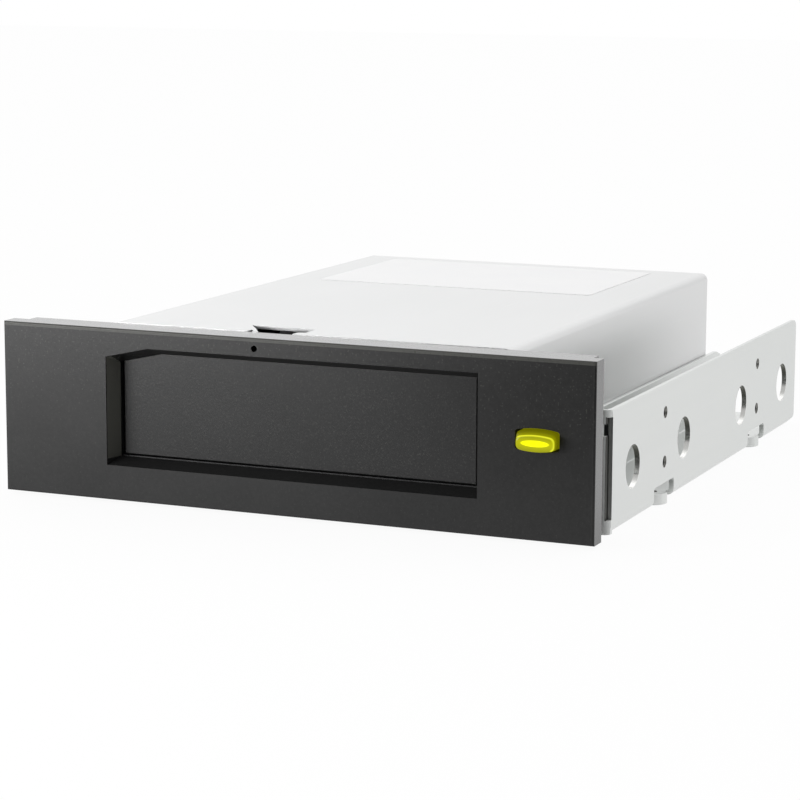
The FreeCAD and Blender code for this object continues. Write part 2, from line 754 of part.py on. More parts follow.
def make_cartridge_guide():
    """Moulded tunnel: floor, side walls with rails, roof, hinge ears, slide tracks."""
    wall_in = bay_half + rail_depth
    wall_out = wall_in + guide_wall
    stand = body_low + sheet
    front, rear = behind(guide_front), behind(bay_rear)
    end = behind(dock_depth + board_thick + 1.8)
    floor_low = bay_floor - guide_floor
    roof_top = bay_ceiling + guide_roof
    tunnel = box(-wall_out, wall_out, front, rear, floor_low, roof_top)
    tunnel = tunnel.cut(box(-wall_in, wall_in, front - 1, rear + 1, bay_floor, bay_ceiling))
    # the roof stops behind the open door, and the ears rise to the hinge pin
    tunnel = tunnel.cut(box(-wall_in, wall_in, front - 1, behind(pocket_rear), bay_ceiling - 1,
                            roof_top + 1))
    for side in (-1, 1):
        inner, outer = side * wall_in, side * wall_out
        ear = box(min(inner, outer), max(inner, outer), front, behind(14), bay_ceiling, hinge_z + 2.4)
        skirt = box(min(inner, outer), max(inner, outer), behind(rim_depth + 2), end, stand, roof_top)
        tunnel = tunnel.fuse(ear).fuse(skirt)
        for z in (bay_floor + 1.4, (bay_floor + bay_ceiling) / 2 - rail_height / 2,
                  bay_ceiling - 1.4 - rail_height):
            rail = [(side * (wall_in + 0.1), behind(36), 0), (side * bay_half, behind(40), 0),
                    (side * bay_half, rear, 0), (side * (wall_in + 0.1), rear, 0)]
            tunnel = tunnel.fuse(prism(rail, along_z, z, z + rail_height))
        groove = box(min(side * (wall_in - 1), side * (wall_in + 0.8)),
                     max(side * (wall_in - 1), side * (wall_in + 0.8)),
                     behind(dock_depth) - 0.05, behind(dock_depth + board_thick) + 0.05, dock_low - 0.05,
                     roof_top + 1)
        tunnel = tunnel.cut(groove)
    # slot for the paddle, open to the rear
    gap = running + 0.3
    tunnel = tunnel.cut(box(slide_left - gap, slide_left + paddle_wide + gap,
                            behind(bay_rear - eject_travel - 0.6), rear + 1,
                            floor_low - 1, bay_floor + 1))
    # hooked tracks under the floor for the ejector slide
    for lo, hi in ((88, 100), (112, 124)):
        for edge, sign in ((slide_left, -1), (slide_right, 1)):
            wall_near = edge + sign * running
            wall_far = wall_near + sign * 1.6
            leg = box(min(wall_near, wall_far), max(wall_near, wall_far), behind(lo), behind(hi),
                      slide_low - running - 1.0, floor_low)
            lip_end = edge - sign * 1.5
            lip = box(min(lip_end, wall_far), max(lip_end, wall_far), behind(lo), behind(hi),
                      slide_low - running - 1.0, slide_low - running)
            tunnel = tunnel.fuse(leg).fuse(lip)
    # saddles on the roof for the release slide, and the post its spring bears on
    for lo, hi in ((40, 44), (54, 58)):
        base = box(pin_hole_x - release_wide / 2 - 1.6, pin_hole_x + release_wide / 2 + 1.6, behind(lo),
                   behind(hi),
                   roof_top - 0.1, release_low + release_thick)
        groove = box(pin_hole_x - release_wide / 2 - running, pin_hole_x + release_wide / 2 + running,
                     behind(lo) - 1,
                     behind(hi) + 1, release_low - running, release_low + release_thick + 1)
        tunnel = tunnel.fuse(base.cut(groove))
    post_front = release_rear + release_post
    post = box(pin_hole_x - 2.2, pin_hole_x + 2.2, behind(post_front), behind(post_front + 2),
               roof_top - 0.1, pin_hole_z + 1.2)
    post = post.cut(rod(release_rod_r + 0.15, (pin_hole_x, behind(post_front) - 1, pin_hole_z),
                        (pin_hole_x, behind(post_front) + 3, pin_hole_z)))
    tunnel = tunnel.fuse(post)
    for side in (-1, 1):
        pin_bore = rod(hinge_pin_r + 0.01, (side * (wall_in - 1), hinge_y, hinge_z),
                       (side * (wall_out + 1), hinge_y, hinge_z))
        tunnel = tunnel.cut(pin_bore)
    return tunnel.removeSplitter()


def gear_flank(teeth, thinning, tip, root, points=4):
    """Half-angle of a tooth at several radii: involute above the base circle, radial below."""
    pitch = module * teeth / 2
    base = pitch * math.cos(math.radians(20))
    inv = math.tan(math.radians(20)) - math.radians(20)
    half_at_pitch = math.pi / (2 * teeth) - thinning / (4 * pitch)
    rows = []
    for i in range(points):
        radius = root + (tip - root) * i / (points - 1)
        at = max(radius, base)
        pressure = math.acos(base / at)
        rows.append((radius, half_at_pitch + inv - (math.tan(pressure) - pressure)))
    return rows


def gear(teeth, x, y, low, high, bore, phase):
    """Spur gear with its first tooth at angle phase, in radians."""
    pitch = module * teeth / 2
    rows = gear_flank(teeth, backlash, pitch + 0.8 * module, pitch - 1.05 * module)
    points = []
    for n in range(teeth):
        centre = phase + 2 * math.pi * n / teeth
        for radius, half in rows:
            points.append(V(x + radius * math.cos(centre - half), y + radius * math.sin(centre - half),
                            low))
        for radius, half in reversed(rows):
            points.append(V(x + radius * math.cos(centre + half), y + radius * math.sin(centre + half),
                            low))
    wire = Part.makePolygon(points + [points[0]])
    blank = Part.Face(wire).extrude(V(0, 0, high - low))
    return blank.cut(rod(bore, (x, y, low - 1), (x, y, high + 1)))


def rack(line, y_first, teeth, low, high, back):
    """Straight rack whose teeth point along +x from their pitch line."""
    pitch = math.pi * module
    half = pitch / 4 - backlash / 4
    slope = math.tan(math.radians(20))
    tip, root = 0.8 * module, 1.05 * module
    points = [V(back, y_first - pitch / 2, low), V(line - root, y_first - pitch / 2, low)]
    for n in range(teeth):
        y = y_first + n * pitch
        points += [V(line - root, y - half - slope * root, low), V(line + tip, y - half + slope * tip, low),
                   V(line + tip, y + half - slope * tip, low), V(line - root, y + half + slope * root, low)]
    y_last = y_first + (teeth - 0.5) * pitch
    points += [V(line - root, y_last, low), V(back, y_last, low)]
    return Part.Face(Part.makePolygon(points + [points[0]])).extrude(V(0, 0, high - low))


def make_ejector_slide():
    """Flat sled: plate under the bay floor, paddle behind the cartridge, rack at the rear."""
    high = slide_low + slide_thick
    plate = box(slide_left, slide_right, behind(slide_front), behind(slide_rear), slide_low, high)
    for y0, y1 in ((slide_front + 8, slide_front + 22), (slide_front + 28, slide_front + 40)):
        plate = plate.cut(prism(rectangle(slide_left + 4, slide_right - 4, behind(y0), behind(y1), 2.0),
                                along_z, slide_low - 1, high + 1))
    pitch = math.pi * module
    # a gap between two teeth faces the pinion's tooth at rest
    y_first = gear_y - 1.5 * pitch
    teeth = rack_teeth
    bar = rack(rack_line, y_first, teeth, slide_low, high, rack_back)
    neck = box(rack_back, rack_line - 1.05 * module, behind(slide_rear) - 0.1, y_first, slide_low, high)
    paddle_y = behind(bay_rear + 0.6)
    paddle = box(slide_left, slide_left + paddle_wide, paddle_y, paddle_y + paddle_thick, slide_low,
                 paddle_top)
    corner = [(paddle_y + paddle_thick - 0.1, high - 0.1, 0),
              (paddle_y + paddle_thick + 2.6, high - 0.1, 0),
              (paddle_y + paddle_thick - 0.1, high + 4, 0)]
    gusset = prism(corner, along_x, slide_left + paddle_wide / 2 - 0.6, slide_left + paddle_wide / 2 + 0.6)
    return plate.fuse(bar).fuse(neck).fuse(paddle).fuse(gusset).removeSplitter()


def make_eject_gear():
    """Wheel and pinion on one hub; the pinion's tooth points at the rack at rest."""
    pinion = gear(pinion_teeth, gear_x, gear_y, slide_low - 0.3, wheel_low, axle_r + pin_fit, math.pi)
    toward_motor = math.radians(motor_angle)
    wheel = gear(wheel_teeth, gear_x, gear_y, wheel_low, wheel_low + wheel_thick, axle_r + pin_fit,
                 toward_motor)
    hub = rod(2.6, (gear_x, gear_y, wheel_low + wheel_thick - 0.1), (gear_x, gear_y, carrier_low - running))
    hub = hub.cut(rod(axle_r + pin_fit, (gear_x, gear_y, 0), (gear_x, gear_y, 30)))
    holes = []
    for n in range(5):
        angle = 2 * math.pi * n / 5
        x, y = gear_x + 5.4 * math.cos(angle), gear_y + 5.4 * math.sin(angle)
        holes.append(rod(1.5, (x, y, wheel_low - 1), (x, y, wheel_low + wheel_thick + 1)))
    wheel = wheel.cut(Part.makeCompound(holes))
    return pinion.fuse(wheel).fuse(hub).removeSplitter()


def make_gear_axle():
    return rod(axle_r, (gear_x, gear_y, body_low + sheet), (gear_x, gear_y, carrier_low + carrier_thick))


def make_motor_pinion():
    """Pinion and motor shaft; a gap of the pinion faces the wheel's tooth at rest."""
    facing = math.radians(motor_angle) + math.pi
    teeth = gear(motor_teeth, motor_x, motor_y, wheel_low - 0.2, wheel_low + wheel_thick + 0.3, shaft_r,
                 facing + math.pi / motor_teeth)
    shaft = rod(shaft_r, (motor_x, motor_y, wheel_low - 0.2),
                (motor_x, motor_y, carrier_low + carrier_thick + 1.4))
    return teeth.fuse(shaft).removeSplitter()


def make_eject_motor():
    """Can motor, flat on two sides, with its shaft bore underneath and two terminals on top."""
    low = carrier_low + carrier_thick
    can = rod(motor_r, (motor_x, motor_y, low), (motor_x, motor_y, low + motor_high))
    top = edges_where(can, lambda b: b.ZMin > low + motor_high - 0.01)
    can = can.makeFillet(0.8, top)
    flats = box(motor_x - 5.0, motor_x + 5.0, motor_y - motor_r, motor_y + motor_r, low, low + motor_high)
    can = can.common(flats)
    cap = rod(2.2, (motor_x, motor_y, low + motor_high - 0.1), (motor_x, motor_y, low + motor_high + 1.0))
    can = can.fuse(cap)
    for side in (-1, 1):
        x = motor_x + side * 3.6
        can = can.fuse(box(x - 0.2, x + 0.2, motor_y - 0.8, motor_y + 0.8, low + motor_high - 0.1,
                           low + motor_high + 2.2))
    return can.cut(rod(shaft_r + pin_fit, (motor_x, motor_y, low - 1), (motor_x, motor_y, low + 1.6)))


def carrier_posts():
    right = motor_x + motor_r + 0.5
    return [(slide_left + 4.5, gear_y + 11.0), (right, gear_y + 13.6), (right, gear_y - 2.5)]


def make_gear_bracket():
    """Plate over the gears with three legs down to the tray."""
    left, right = slide_left + 2.0, motor_x + motor_r + 3.1
    front, rear = gear_y - 5.0, behind(body_rear - 1.6)
    corners = [(left, gear_y + 7.5, 2.0), (left + 10.0, front, 2.0), (right, front, 2.0),
               (right, rear, 2.0),
               (left, rear, 2.0)]
    plate = prism(corners, along_z, carrier_low, carrier_low + carrier_thick)
    for x, y in carrier_posts():
        plate = plate.fuse(rod(1.8, (x, y, body_low + sheet), (x, y, carrier_low + 0.1)))
    plate = plate.cut(rod(axle_r + 0.01, (gear_x, gear_y, carrier_low - 1),
                          (gear_x, gear_y, carrier_low + 3)))
    return plate.cut(rod(shaft_r + 0.6, (motor_x, motor_y, carrier_low - 1),
                         (motor_x, motor_y, carrier_low + 3)))


def make_release_slide():
    """Strip above the door: nose behind the pin hole, rod at the rear for its spring."""
    half = release_wide / 2
    high = release_low + release_thick
    corners = [(pin_hole_x - half, behind(release_front), 0.8),
               (pin_hole_x + half, behind(release_front), 0.8),
               (pin_hole_x + half, behind(release_rear), 0.5),
               (pin_hole_x - half, behind(release_rear), 0.5)]
    strip = prism(corners, along_z, release_low, high)
    slot = prism(rectangle(pin_hole_x - 1.2, pin_hole_x + 1.2, behind(release_front + 8),
                           behind(release_rear - 8), 1.1),
                 along_z, release_low - 1, high + 1)
    strip = strip.cut(slot)
    tail = rod(release_rod_r, (pin_hole_x, behind(release_rear) - 0.1, pin_hole_z),
               (pin_hole_x, behind(release_rear + release_rod), pin_hole_z))
    return strip.fuse(tail).removeSplitter()


def make_release_spring():
    radius = release_rod_r + 0.15 + wire_r
    gap = 0.15 + wire_r
    turns = 9
    pitch = (release_post - 2 * gap) / turns
    return coil((pin_hole_x, behind(release_rear + gap), pin_hole_z), (0, 1, 0), radius, pitch, turns,
                wire_r)


def main_outline():
    front, step, rear = behind(main_front), behind(main_step), behind(main_rear)
    return [(-main_half, front, 1.5), (main_half, front, 1.5), (main_half, rear, 1.5),
            (main_step_x, rear, 1.0),
            (main_step_x, step, 1.5), (-main_half, step, 1.5)]


def make_main_board():
    board = prism(main_outline(), along_z, main_low, main_top)
    for x, depth in board_screw_places():
        board = board.cut(rod(1.3, (x, behind(depth), main_low - 1), (x, behind(depth), main_top + 1)))
    return board


def make_board_components():
    """Bridge chip, memory, coils, capacitors and a board-to-board plug on the main board."""
    parts = [box(-8, 6, behind(92), behind(106), main_top, main_top + 1.2),
             box(14, 24, behind(78), behind(84), main_top, main_top + 1.0),
             box(16, 22, behind(112), behind(118), main_top, main_top + 2.8),
             box(28, 34, behind(100), behind(106), main_top, main_top + 2.8),
             box(-16, -11, behind(74), behind(80), main_top, main_top + 2.2)]
    for i in range(4):
        x = 12.0 + 7.0 * i
        parts.append(rod(1.6, (x, behind(136), main_top), (x, behind(136), main_top + 3.0)))
    for i in range(6):
        x = -6.0 + 4.0 * i
        parts.append(box(x, x + 1.6, behind(86), behind(86.8), main_top, main_top + 0.8))
    return Part.makeCompound(parts)


def make_board_screws():
    """Pan-head screws of the main board and of the button board."""
    screws = []
    for x, depth in board_screw_places():
        y = behind(depth)
        head = rod(2.0, (x, y, main_top), (x, y, main_top + 1.3))
        head = head.makeFillet(0.6, edges_where(head, lambda b: b.ZMin > main_top + 1.2))
        screws.append(head.fuse(rod(0.95, (x, y, main_top), (x, y, body_low + 0.3))))
    back = behind(button_board_depth + button_board_thick)
    for x, z in button_board_screws():
        head = rod(1.7, (x, back, z), (x, back + 0.7, z))
        screws.append(head.fuse(rod(0.75, (x, back, z), (x, behind(plate_thick + 2.0), z))))
    return Part.makeCompound(screws)


def make_dock_board():
    half = bay_half + rail_depth + 0.6
    return box(-half, half, behind(dock_depth), behind(dock_depth + board_thick), dock_low, dock_high)


def make_dock_connector():
    """Receptacle the cartridge plugs into: housing with a long blade slot and tapered ends."""
    rear = behind(dock_depth)
    front = rear - 5.6
    body = prism(rectangle(-21.5, 21.5, 15.4, 22.2, 1.0), along_y, front, rear)
    for x0, x1 in ((-18.5, -7.2), (-5.6, 17.0)):
        body = body.cut(box(x0, x1, front - 1, front + 4.4, 17.6, 20.0))
    for side in (-1, 1):
        guide = rod(1.3, (side * 26.5, rear, 18.8), (side * 26.5, rear - 5.0, 18.8))
        tip = Part.makeCone(1.3, 0.6, 1.2, V(side * 26.5, rear - 5.0, 18.8), V(0, -1, 0))
        foot = box(min(side * 20, side * 29), max(side * 20, side * 29), rear - 1.6, rear, 16.4, 21.2)
        body = body.fuse(guide).fuse(tip).fuse(foot)
    return body.removeSplitter()


def plug_blades():
    """Left and right ends of the data blade and of the power blade."""
    return (plug_left + 4.0, plug_left + 14.4), (plug_right - 23.6, plug_right - 3.0)


def make_rear_connector():
    """Data and power plug: housing with two blades, guide posts and a key at each blade's end."""
    rear = behind(body_rear) - 0.6
    face = rear - 6.2
    low = main_top
    body = box(plug_left, plug_right, rear - plug_deep, face, low, low + 6.6)
    (data_left, data_right), (power_left, power_right) = plug_blades()
    body = body.fuse(box(data_left, data_right, face - 0.2, rear, low + 2.6, low + 3.8))
    body = body.fuse(box(power_left, power_right, face - 0.2, rear, low + 2.6, low + 3.8))
    for x in (data_left, power_right - 1.2):
        body = body.fuse(box(x, x + 1.2, face - 0.2, rear, low + 2.6, low + 5.3))
    for x in (plug_left, plug_right - 1.6):
        body = body.fuse(box(x, x + 1.6, face - 0.2, rear - 1.0, low + 1.6, low + 5.8))
    return body.removeSplitter()


def make_connector_contacts():
    """Contact strips under the two blades: seven for data, fifteen for power."""
    rear = behind(body_rear) - 0.6
    low = main_top + 2.6
    strips = []
    for (left, right), count in zip(plug_blades(), (7, 15)):
        first = (left + right) / 2 - 1.27 * (count - 1) / 2
        for i in range(count):
            x = first + 1.27 * i
            strips.append(box(x - 0.35, x + 0.35, rear - 6.2, rear - 0.6, low - 0.15, low))
    return Part.makeCompound(strips)


NODES = {
    "bezel": make_bezel,
    "door": make_door,
    "door_hinge_pin": make_hinge_pin,
    "door_spring": make_door_spring,
    "eject_button": make_eject_button,
    "switch_plunger": make_switch_plunger,
    "tact_switch": make_tact_switch,
    "button_board": make_button_board,
    "status_led": make_status_led,
    "top_cover": make_top_cover,
    "blank_label": make_blank_label,
    "bottom_tray": make_bottom_tray,
    "right_bracket": make_right_bracket,
    "left_bracket": lambda: mirrored(make_right_bracket()),
    "bracket_screws": make_bracket_screws,
    "cartridge_guide": make_cartridge_guide,
    "ejector_slide": make_ejector_slide,
    "eject_gear": make_eject_gear,
    "gear_axle": make_gear_axle,
    "motor_pinion": make_motor_pinion,
    "eject_motor": make_eject_motor,
    "gear_bracket": make_gear_bracket,
    "release_slide": make_release_slide,
    "release_spring": make_release_spring,
    "main_board": make_main_board,
    "board_components": make_board_components,
    "board_screws": make_board_screws,
    "dock_board": make_dock_board,
    "dock_connector": make_dock_connector,
    "rear_connector": make_rear_connector,
    "connector_contacts": make_connector_contacts,
}

os.makedirs("parts", exist_ok=True)
for name, make in NODES.items():
    shape = make()
    shape.exportStep(f"parts/{name}.step")
    print(name, len(shape.Solids), shape.isValid(), round(shape.Volume, 1))
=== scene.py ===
import json
import math
import bmesh
import bpy
import numpy as np
from mathutils import Matrix, Vector


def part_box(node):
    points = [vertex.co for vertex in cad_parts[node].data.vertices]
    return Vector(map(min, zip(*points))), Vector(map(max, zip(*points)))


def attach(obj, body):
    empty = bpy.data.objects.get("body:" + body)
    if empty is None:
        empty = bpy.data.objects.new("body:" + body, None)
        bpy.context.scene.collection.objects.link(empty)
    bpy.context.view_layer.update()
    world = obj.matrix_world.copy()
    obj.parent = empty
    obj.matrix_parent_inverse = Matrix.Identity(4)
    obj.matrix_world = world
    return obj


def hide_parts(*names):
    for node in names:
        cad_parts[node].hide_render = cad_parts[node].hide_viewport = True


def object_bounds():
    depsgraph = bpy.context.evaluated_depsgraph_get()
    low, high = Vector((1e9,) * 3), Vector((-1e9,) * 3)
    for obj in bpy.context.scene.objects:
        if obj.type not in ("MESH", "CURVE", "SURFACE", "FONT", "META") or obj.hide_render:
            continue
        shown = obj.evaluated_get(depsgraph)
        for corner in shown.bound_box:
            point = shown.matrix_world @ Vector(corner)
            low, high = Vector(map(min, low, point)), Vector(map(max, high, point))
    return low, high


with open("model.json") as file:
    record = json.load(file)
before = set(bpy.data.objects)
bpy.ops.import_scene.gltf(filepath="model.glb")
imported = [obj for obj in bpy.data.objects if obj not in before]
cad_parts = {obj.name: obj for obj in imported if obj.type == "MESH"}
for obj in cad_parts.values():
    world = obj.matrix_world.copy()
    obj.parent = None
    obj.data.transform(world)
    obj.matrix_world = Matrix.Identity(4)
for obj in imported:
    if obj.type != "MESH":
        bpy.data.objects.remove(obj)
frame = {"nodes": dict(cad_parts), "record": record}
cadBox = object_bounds()
nodes = frame["nodes"]
mm = 0.001
wholeTurn = 2.0 * np.pi


class Wire:
    # one output socket; Python's operators on it add Math nodes
    def __init__(self, tree, socket):
        self.tree, self.socket = tree, socket

    def math(self, operation, first, second=None):
        node = self.tree.nodes.new("ShaderNodeMath")
        node.operation = operation
        for slot, value in zip(node.inputs, (first, second)):
            if isinstance(value, Wire):
                self.tree.links.new(value.socket, slot)
            elif value is not None:
                slot.default_value = value
        return Wire(self.tree, node.outputs[0])

    def __add__(self, other): return self.math("ADD", self, other)
    def __radd__(self, other): return self.math("ADD", other, self)
    def __sub__(self, other): return self.math("SUBTRACT", self, other)
    def __rsub__(self, other): return self.math("SUBTRACT", other, self)
    def __mul__(self, other): return self.math("MULTIPLY", self, other)
    def __rmul__(self, other): return self.math("MULTIPLY", other, self)
    def __truediv__(self, other): return self.math("DIVIDE", self, other)
    def __neg__(self): return self.math("MULTIPLY", self, -1.0)
    def __abs__(self): return self.math("ABSOLUTE", self)
    def __lt__(self, other): return self.math("LESS_THAN", self, other)
    def __gt__(self, other): return self.math("GREATER_THAN", self, other)
    def sine(self): return self.math("SINE", self)
    def root(self): return self.math("SQRT", self)
    def most(self, other): return self.math("MAXIMUM", self, other)

    def ramp(self, low, high):
        # 0 below low, 1 above high, smooth between
        node = self.tree.nodes.new("ShaderNodeMapRange")
        node.interpolation_type = "SMOOTHSTEP"
        self.tree.links.new(self.socket, node.inputs["Value"])
        node.inputs["From Min"].default_value = low
        node.inputs["From Max"].default_value = high
        return Wire(self.tree, node.outputs["Result"])


class Finish:
    # the node tree of one material or world
    def __init__(self, owner, output="ShaderNodeOutputMaterial"):
        self.owner = owner
        owner.use_nodes = True
        self.tree = owner.node_tree
        self.tree.nodes.clear()
        self.output = self.tree.nodes.new(output)

    def add(self, kind, settings=None, values=None, out=0):
        node = self.tree.nodes.new(kind)
        for key, value in (settings or {}).items():
            setattr(node, key, value)
        for key, value in (values or {}).items():
            slot = node.inputs[key]
            if isinstance(value, Wire):
                self.tree.links.new(value.socket, slot)
            else:
                slot.default_value = (*value, 1.0) if slot.type == "RGBA" and len(value) == 3 else value
        return Wire(self.tree, node.outputs[out])

    def other(self, wire, out):
        # another output of the node that a wire comes from
        return Wire(self.tree, wire.socket.node.outputs[out])

    def place(self, scale=(1, 1, 1), turn=(0, 0, 0)):
        at = self.add("ShaderNodeTexCoord", out="Object")
        return self.add("ShaderNodeMapping", values={"Vector": at, "Scale": scale, "Rotation": turn})

    def axes(self, kind="Object"):
        at = self.add("ShaderNodeTexCoord", out=kind)
        first = self.add("ShaderNodeSeparateXYZ", values={"Vector": at})
        return [self.other(first, i) for i in range(3)]

    def noise(self, scale, detail=2.0, rough=0.5, at=None):
        values = {"Vector": at if at is not None else self.place(), "Scale": scale, "Detail": detail,
                  "Roughness": rough}
        return self.add("ShaderNodeTexNoise", values=values)

    def mix(self, factor, first, second):
        return self.add("ShaderNodeMix", {"data_type": "RGBA"}, {"Factor": factor, 6: first, 7: second}, out=2)

    def bump(self, height, distance, strength=1.0):
        return self.add("ShaderNodeBump", values={"Height": height, "Distance": distance, "Strength": strength})

    def shader(self, **values):
        return self.add("ShaderNodeBsdfPrincipled", values={k.replace("_", " "): v for k, v in values.items()})

    def surface(self, shader):
        # wires a shader to the output and hands the finished material or world back
        self.tree.links.new(shader.socket, self.output.inputs["Surface"])
        return self.owner


def grey(value):
    return (value, value, value)


# grains of spark-eroded mouldings: sizes against the coarse grain, shares of each, and what the painted glints change
grains = dict(fine=2.7, fleck=1.6, fleckLow=0.69, fleckHigh=0.82, plain=0.2, coarseShare=0.65, grainTone=0.6,
              fineRough=0.10, fleckRough=0.12)


def bezelZones(look, x, y, z):
    # rims that are drawn smooth, side walls of the opening painted lighter as if lit, a painted highlight band along
    # the front edges, hollows that are dull
    rim, inner, edgeHighlight, hole = look["rim"], look["inner"], look["edgeHighlight"], look["buttonHole"]
    behindFace = y > inner["front"]
    smooth = (z > rim["high"]).most(abs(x) > rim["wide"]) * behindFace * (y < rim["deep"])
    within = (abs(x) < inner["wide"]) * behindFace
    # side walls of the opening, which are painted lighter, as light falls on them
    sideWallsPaintedLight = within * (abs(x) > inner["narrow"]) * (z > inner["low"]) * (z < inner["high"])
    # a band along the top front edge, and faintly along the end edges, that takes a painted highlight
    edge = z.ramp(*edgeHighlight["high"]).most(abs(x).ramp(*edgeHighlight["wide"]) * edgeHighlight["sides"])
    edge = edge * (1.0 - (y - edgeHighlight["face"]).ramp(*edgeHighlight["depth"]))
    shelf = within * (z < inner["low"]).most(z > inner["high"]) * (z < inner["roof"])
    wings = (abs(x) > inner["wings"]) * (y > inner["wingsDeep"]) * (z < inner["wingsHigh"])
    socket = (abs(x - hole["x"]) < hole["wide"]) * behindFace * (abs(z - hole["z"]) < hole["high"])
    return smooth, sideWallsPaintedLight, edge, shelf.most(wings).most(socket)


def sparkedPlastic(name, look):
    # spark-eroded moulding: grains of two sizes raise the surface, a few grains get a painted glint, more of them
    # higher up on the bezel, and dust lies in patches
    f = Finish(bpy.data.materials.new(name))
    coarse = f.noise(look["grain"], 2.0, 0.6)
    fine = f.noise(look["grain"] * grains["fine"], 1.0, 0.5)
    cloud = f.noise(look["cloud"], 3.0, 0.55)
    x, y, z = f.axes()
    upper = z.ramp(*look["grainAndGlintRise"]) if "grainAndGlintRise" in look else 1.0
    # painted glints: a few grains painted bright, more of them higher up
    glintFlecks = f.noise(look["grain"] * grains["fleck"], 0.0, 0.5).ramp(grains["fleckLow"], grains["fleckHigh"])
    glintFlecks = glintFlecks * (grains["plain"] + upper * (1.0 - grains["plain"]))
    height = coarse * grains["coarseShare"] + fine * (1.0 - grains["coarseShare"])
    tone = coarse.ramp(0.35, 0.68) * grains["grainTone"] + cloud.ramp(0.3, 0.7) * (1.0 - grains["grainTone"])
    plain = f.mix(tone, look["dark"], look["light"])
    # painted glint: the glinting grains take the bright spark colour
    colour = f.mix(glintFlecks * look["glint"], plain, look["spark"])
    rough = look["rough"] + (cloud - 0.5) * look["roughSpread"] + (fine - 0.5) * grains["fineRough"]
    rough = rough - glintFlecks * grains["fleckRough"]
    if "rim" not in look:
        normal = f.bump(height, look["relief"], look.get("bump", 0.6))
        return f.surface(f.shader(Base_Color=colour, Roughness=rough, IOR=look["ior"], Normal=normal))
    rim, edgeHighlight, matt = look["rim"], look["edgeHighlight"], look["matt"]
    smooth, sideWallsPaintedLight, edge, dull = bezelZones(look, x, y, z)
    # painted light: the opening's side walls take a lighter colour, as if lit from the right and behind
    colour = f.mix(sideWallsPaintedLight, colour, look["inner"]["sideWallsPaintedLight"])
    # painted highlight: a pale band along the top front edge, with the grain showing through it
    colour = f.mix(edge * (edgeHighlight["least"] + coarse * edgeHighlight["grain"]), colour, edgeHighlight["tone"])
    raised = height * (1.0 - smooth * rim["flatter"]) * (look["lowGrain"] + upper * look["highGrain"])
    coat = smooth * rim["coat"] * (rim["coatLow"] + z.ramp(*rim["coatFade"]) * (1.0 - rim["coatLow"]))
    outer = f.shader(Base_Color=colour, Roughness=rough - smooth * rim["smoother"], IOR=look["ior"],
                     Coat_Weight=coat, Coat_Roughness=rim["coatRough"],
                     Normal=f.bump(raised, look["relief"], look["bump"]))
    inside = f.shader(Base_Color=plain, Roughness=matt["rough"], IOR=matt["ior"],
                      Normal=f.bump(height, look["relief"], 0.5))
    return f.surface(f.add("ShaderNodeMixShader", values={0: dull, 1: outer, 2: inside}))


bezelLook = dict(grain=1350.0, cloud=38.0, dark=(0.003, 0.003, 0.0031), light=(0.008, 0.008, 0.008), rough=0.36,
                 # glint and spark set the painted glints: their share and their bright colour
                 roughSpread=0.10, ior=1.41, relief=0.00002, bump=0.7, glint=0.6, spark=(0.082, 0.082, 0.075),
                 grainAndGlintRise=(18.0 * mm, 36.0 * mm), lowGrain=0.9, highGrain=1.2,
                 rim=dict(high=38.6 * mm, wide=73.9 * mm, deep=-80.0 * mm, smoother=0.16, flatter=0.75, coat=0.72,
                          coatLow=0.45, coatFade=(-4.0 * mm, 16.0 * mm), coatRough=0.22),
                 # the painted highlight band along the front edges
                 edgeHighlight=dict(high=(40.62 * mm, 40.74 * mm), wide=(73.25 * mm, 73.45 * mm), sides=0.06,
                           face=-93.0 * mm, depth=(0.1 * mm, 0.3 * mm), least=0.55, grain=0.9,
                           tone=(0.046, 0.046, 0.041)),
                 inner=dict(wide=46.72 * mm, narrow=45.4 * mm, front=-92.75 * mm, low=10.55 * mm, high=35.45 * mm,
                            wings=68.8 * mm, wingsDeep=-87.9 * mm, wingsHigh=29.0 * mm, roof=38.5 * mm,
                            # colour of the painted light on the opening's side walls
                            sideWallsPaintedLight=(0.075, 0.075, 0.066)),
                 buttonHole=dict(x=60.7 * mm, z=23.3 * mm, wide=5.4 * mm, high=3.1 * mm),
                 matt=dict(rough=0.72, ior=1.35))
doorLook = dict(grain=1900.0, cloud=30.0, dark=(0.004, 0.004, 0.0042), light=(0.009, 0.009, 0.0092), rough=0.35,
                roughSpread=0.08, ior=1.41, relief=0.00003, bump=0.8, glint=0.5, spark=(0.080, 0.080, 0.075))
guideLook = dict(grain=900.0, cloud=25.0, dark=(0.010, 0.010, 0.011), light=(0.017, 0.017, 0.018), rough=0.42,
                 roughSpread=0.12, ior=1.50, relief=0.00003, glint=0.3, spark=(0.04, 0.04, 0.04))
housingLook = dict(grain=1400.0, cloud=60.0, dark=(0.012, 0.012, 0.012), light=(0.02, 0.02, 0.02), rough=0.36,
                   roughSpread=0.12, ior=1.52, relief=0.00002, glint=0.3, spark=(0.04, 0.04, 0.04))
acetalLook = dict(grain=1200.0, cloud=90.0, dark=(0.74, 0.73, 0.69), light=(0.80, 0.80, 0.77), rough=0.34,
                  roughSpread=0.10, ior=1.48, relief=0.00002, glint=0.3, spark=(0.85, 0.85, 0.82))


def punchedZones(look, x, y, z):
    # walls of the large holes, the sheared edge of the bend slot (where shade is painted), the front flange, and the
    # bosses under the web
    wall = None
    for depth in look["holesAt"]:
        away = ((y - depth) * (y - depth) + (z - look["holesUp"]) * (z - look["holesUp"])).root()
        ring = abs(away - look["holeR"]) < look["rim"]
        wall = ring if wall is None else wall.most(ring)
    # the slot's sheared edge, painted near black as the shade in the gap
    slotShade = (abs(x) > look["slotFrom"]) * (abs(x) < look["slotTo"]) * (y < look["slotBack"])
    slotShade = slotShade * (z > look["slotLow"]) * (z < look["slotHigh"])
    boss = 1.0 - z.ramp(0.9 * look["bossTop"], look["bossTop"])
    return wall * (abs(x) > look["wallFrom"]), slotShade, y < look["flangeBack"], boss


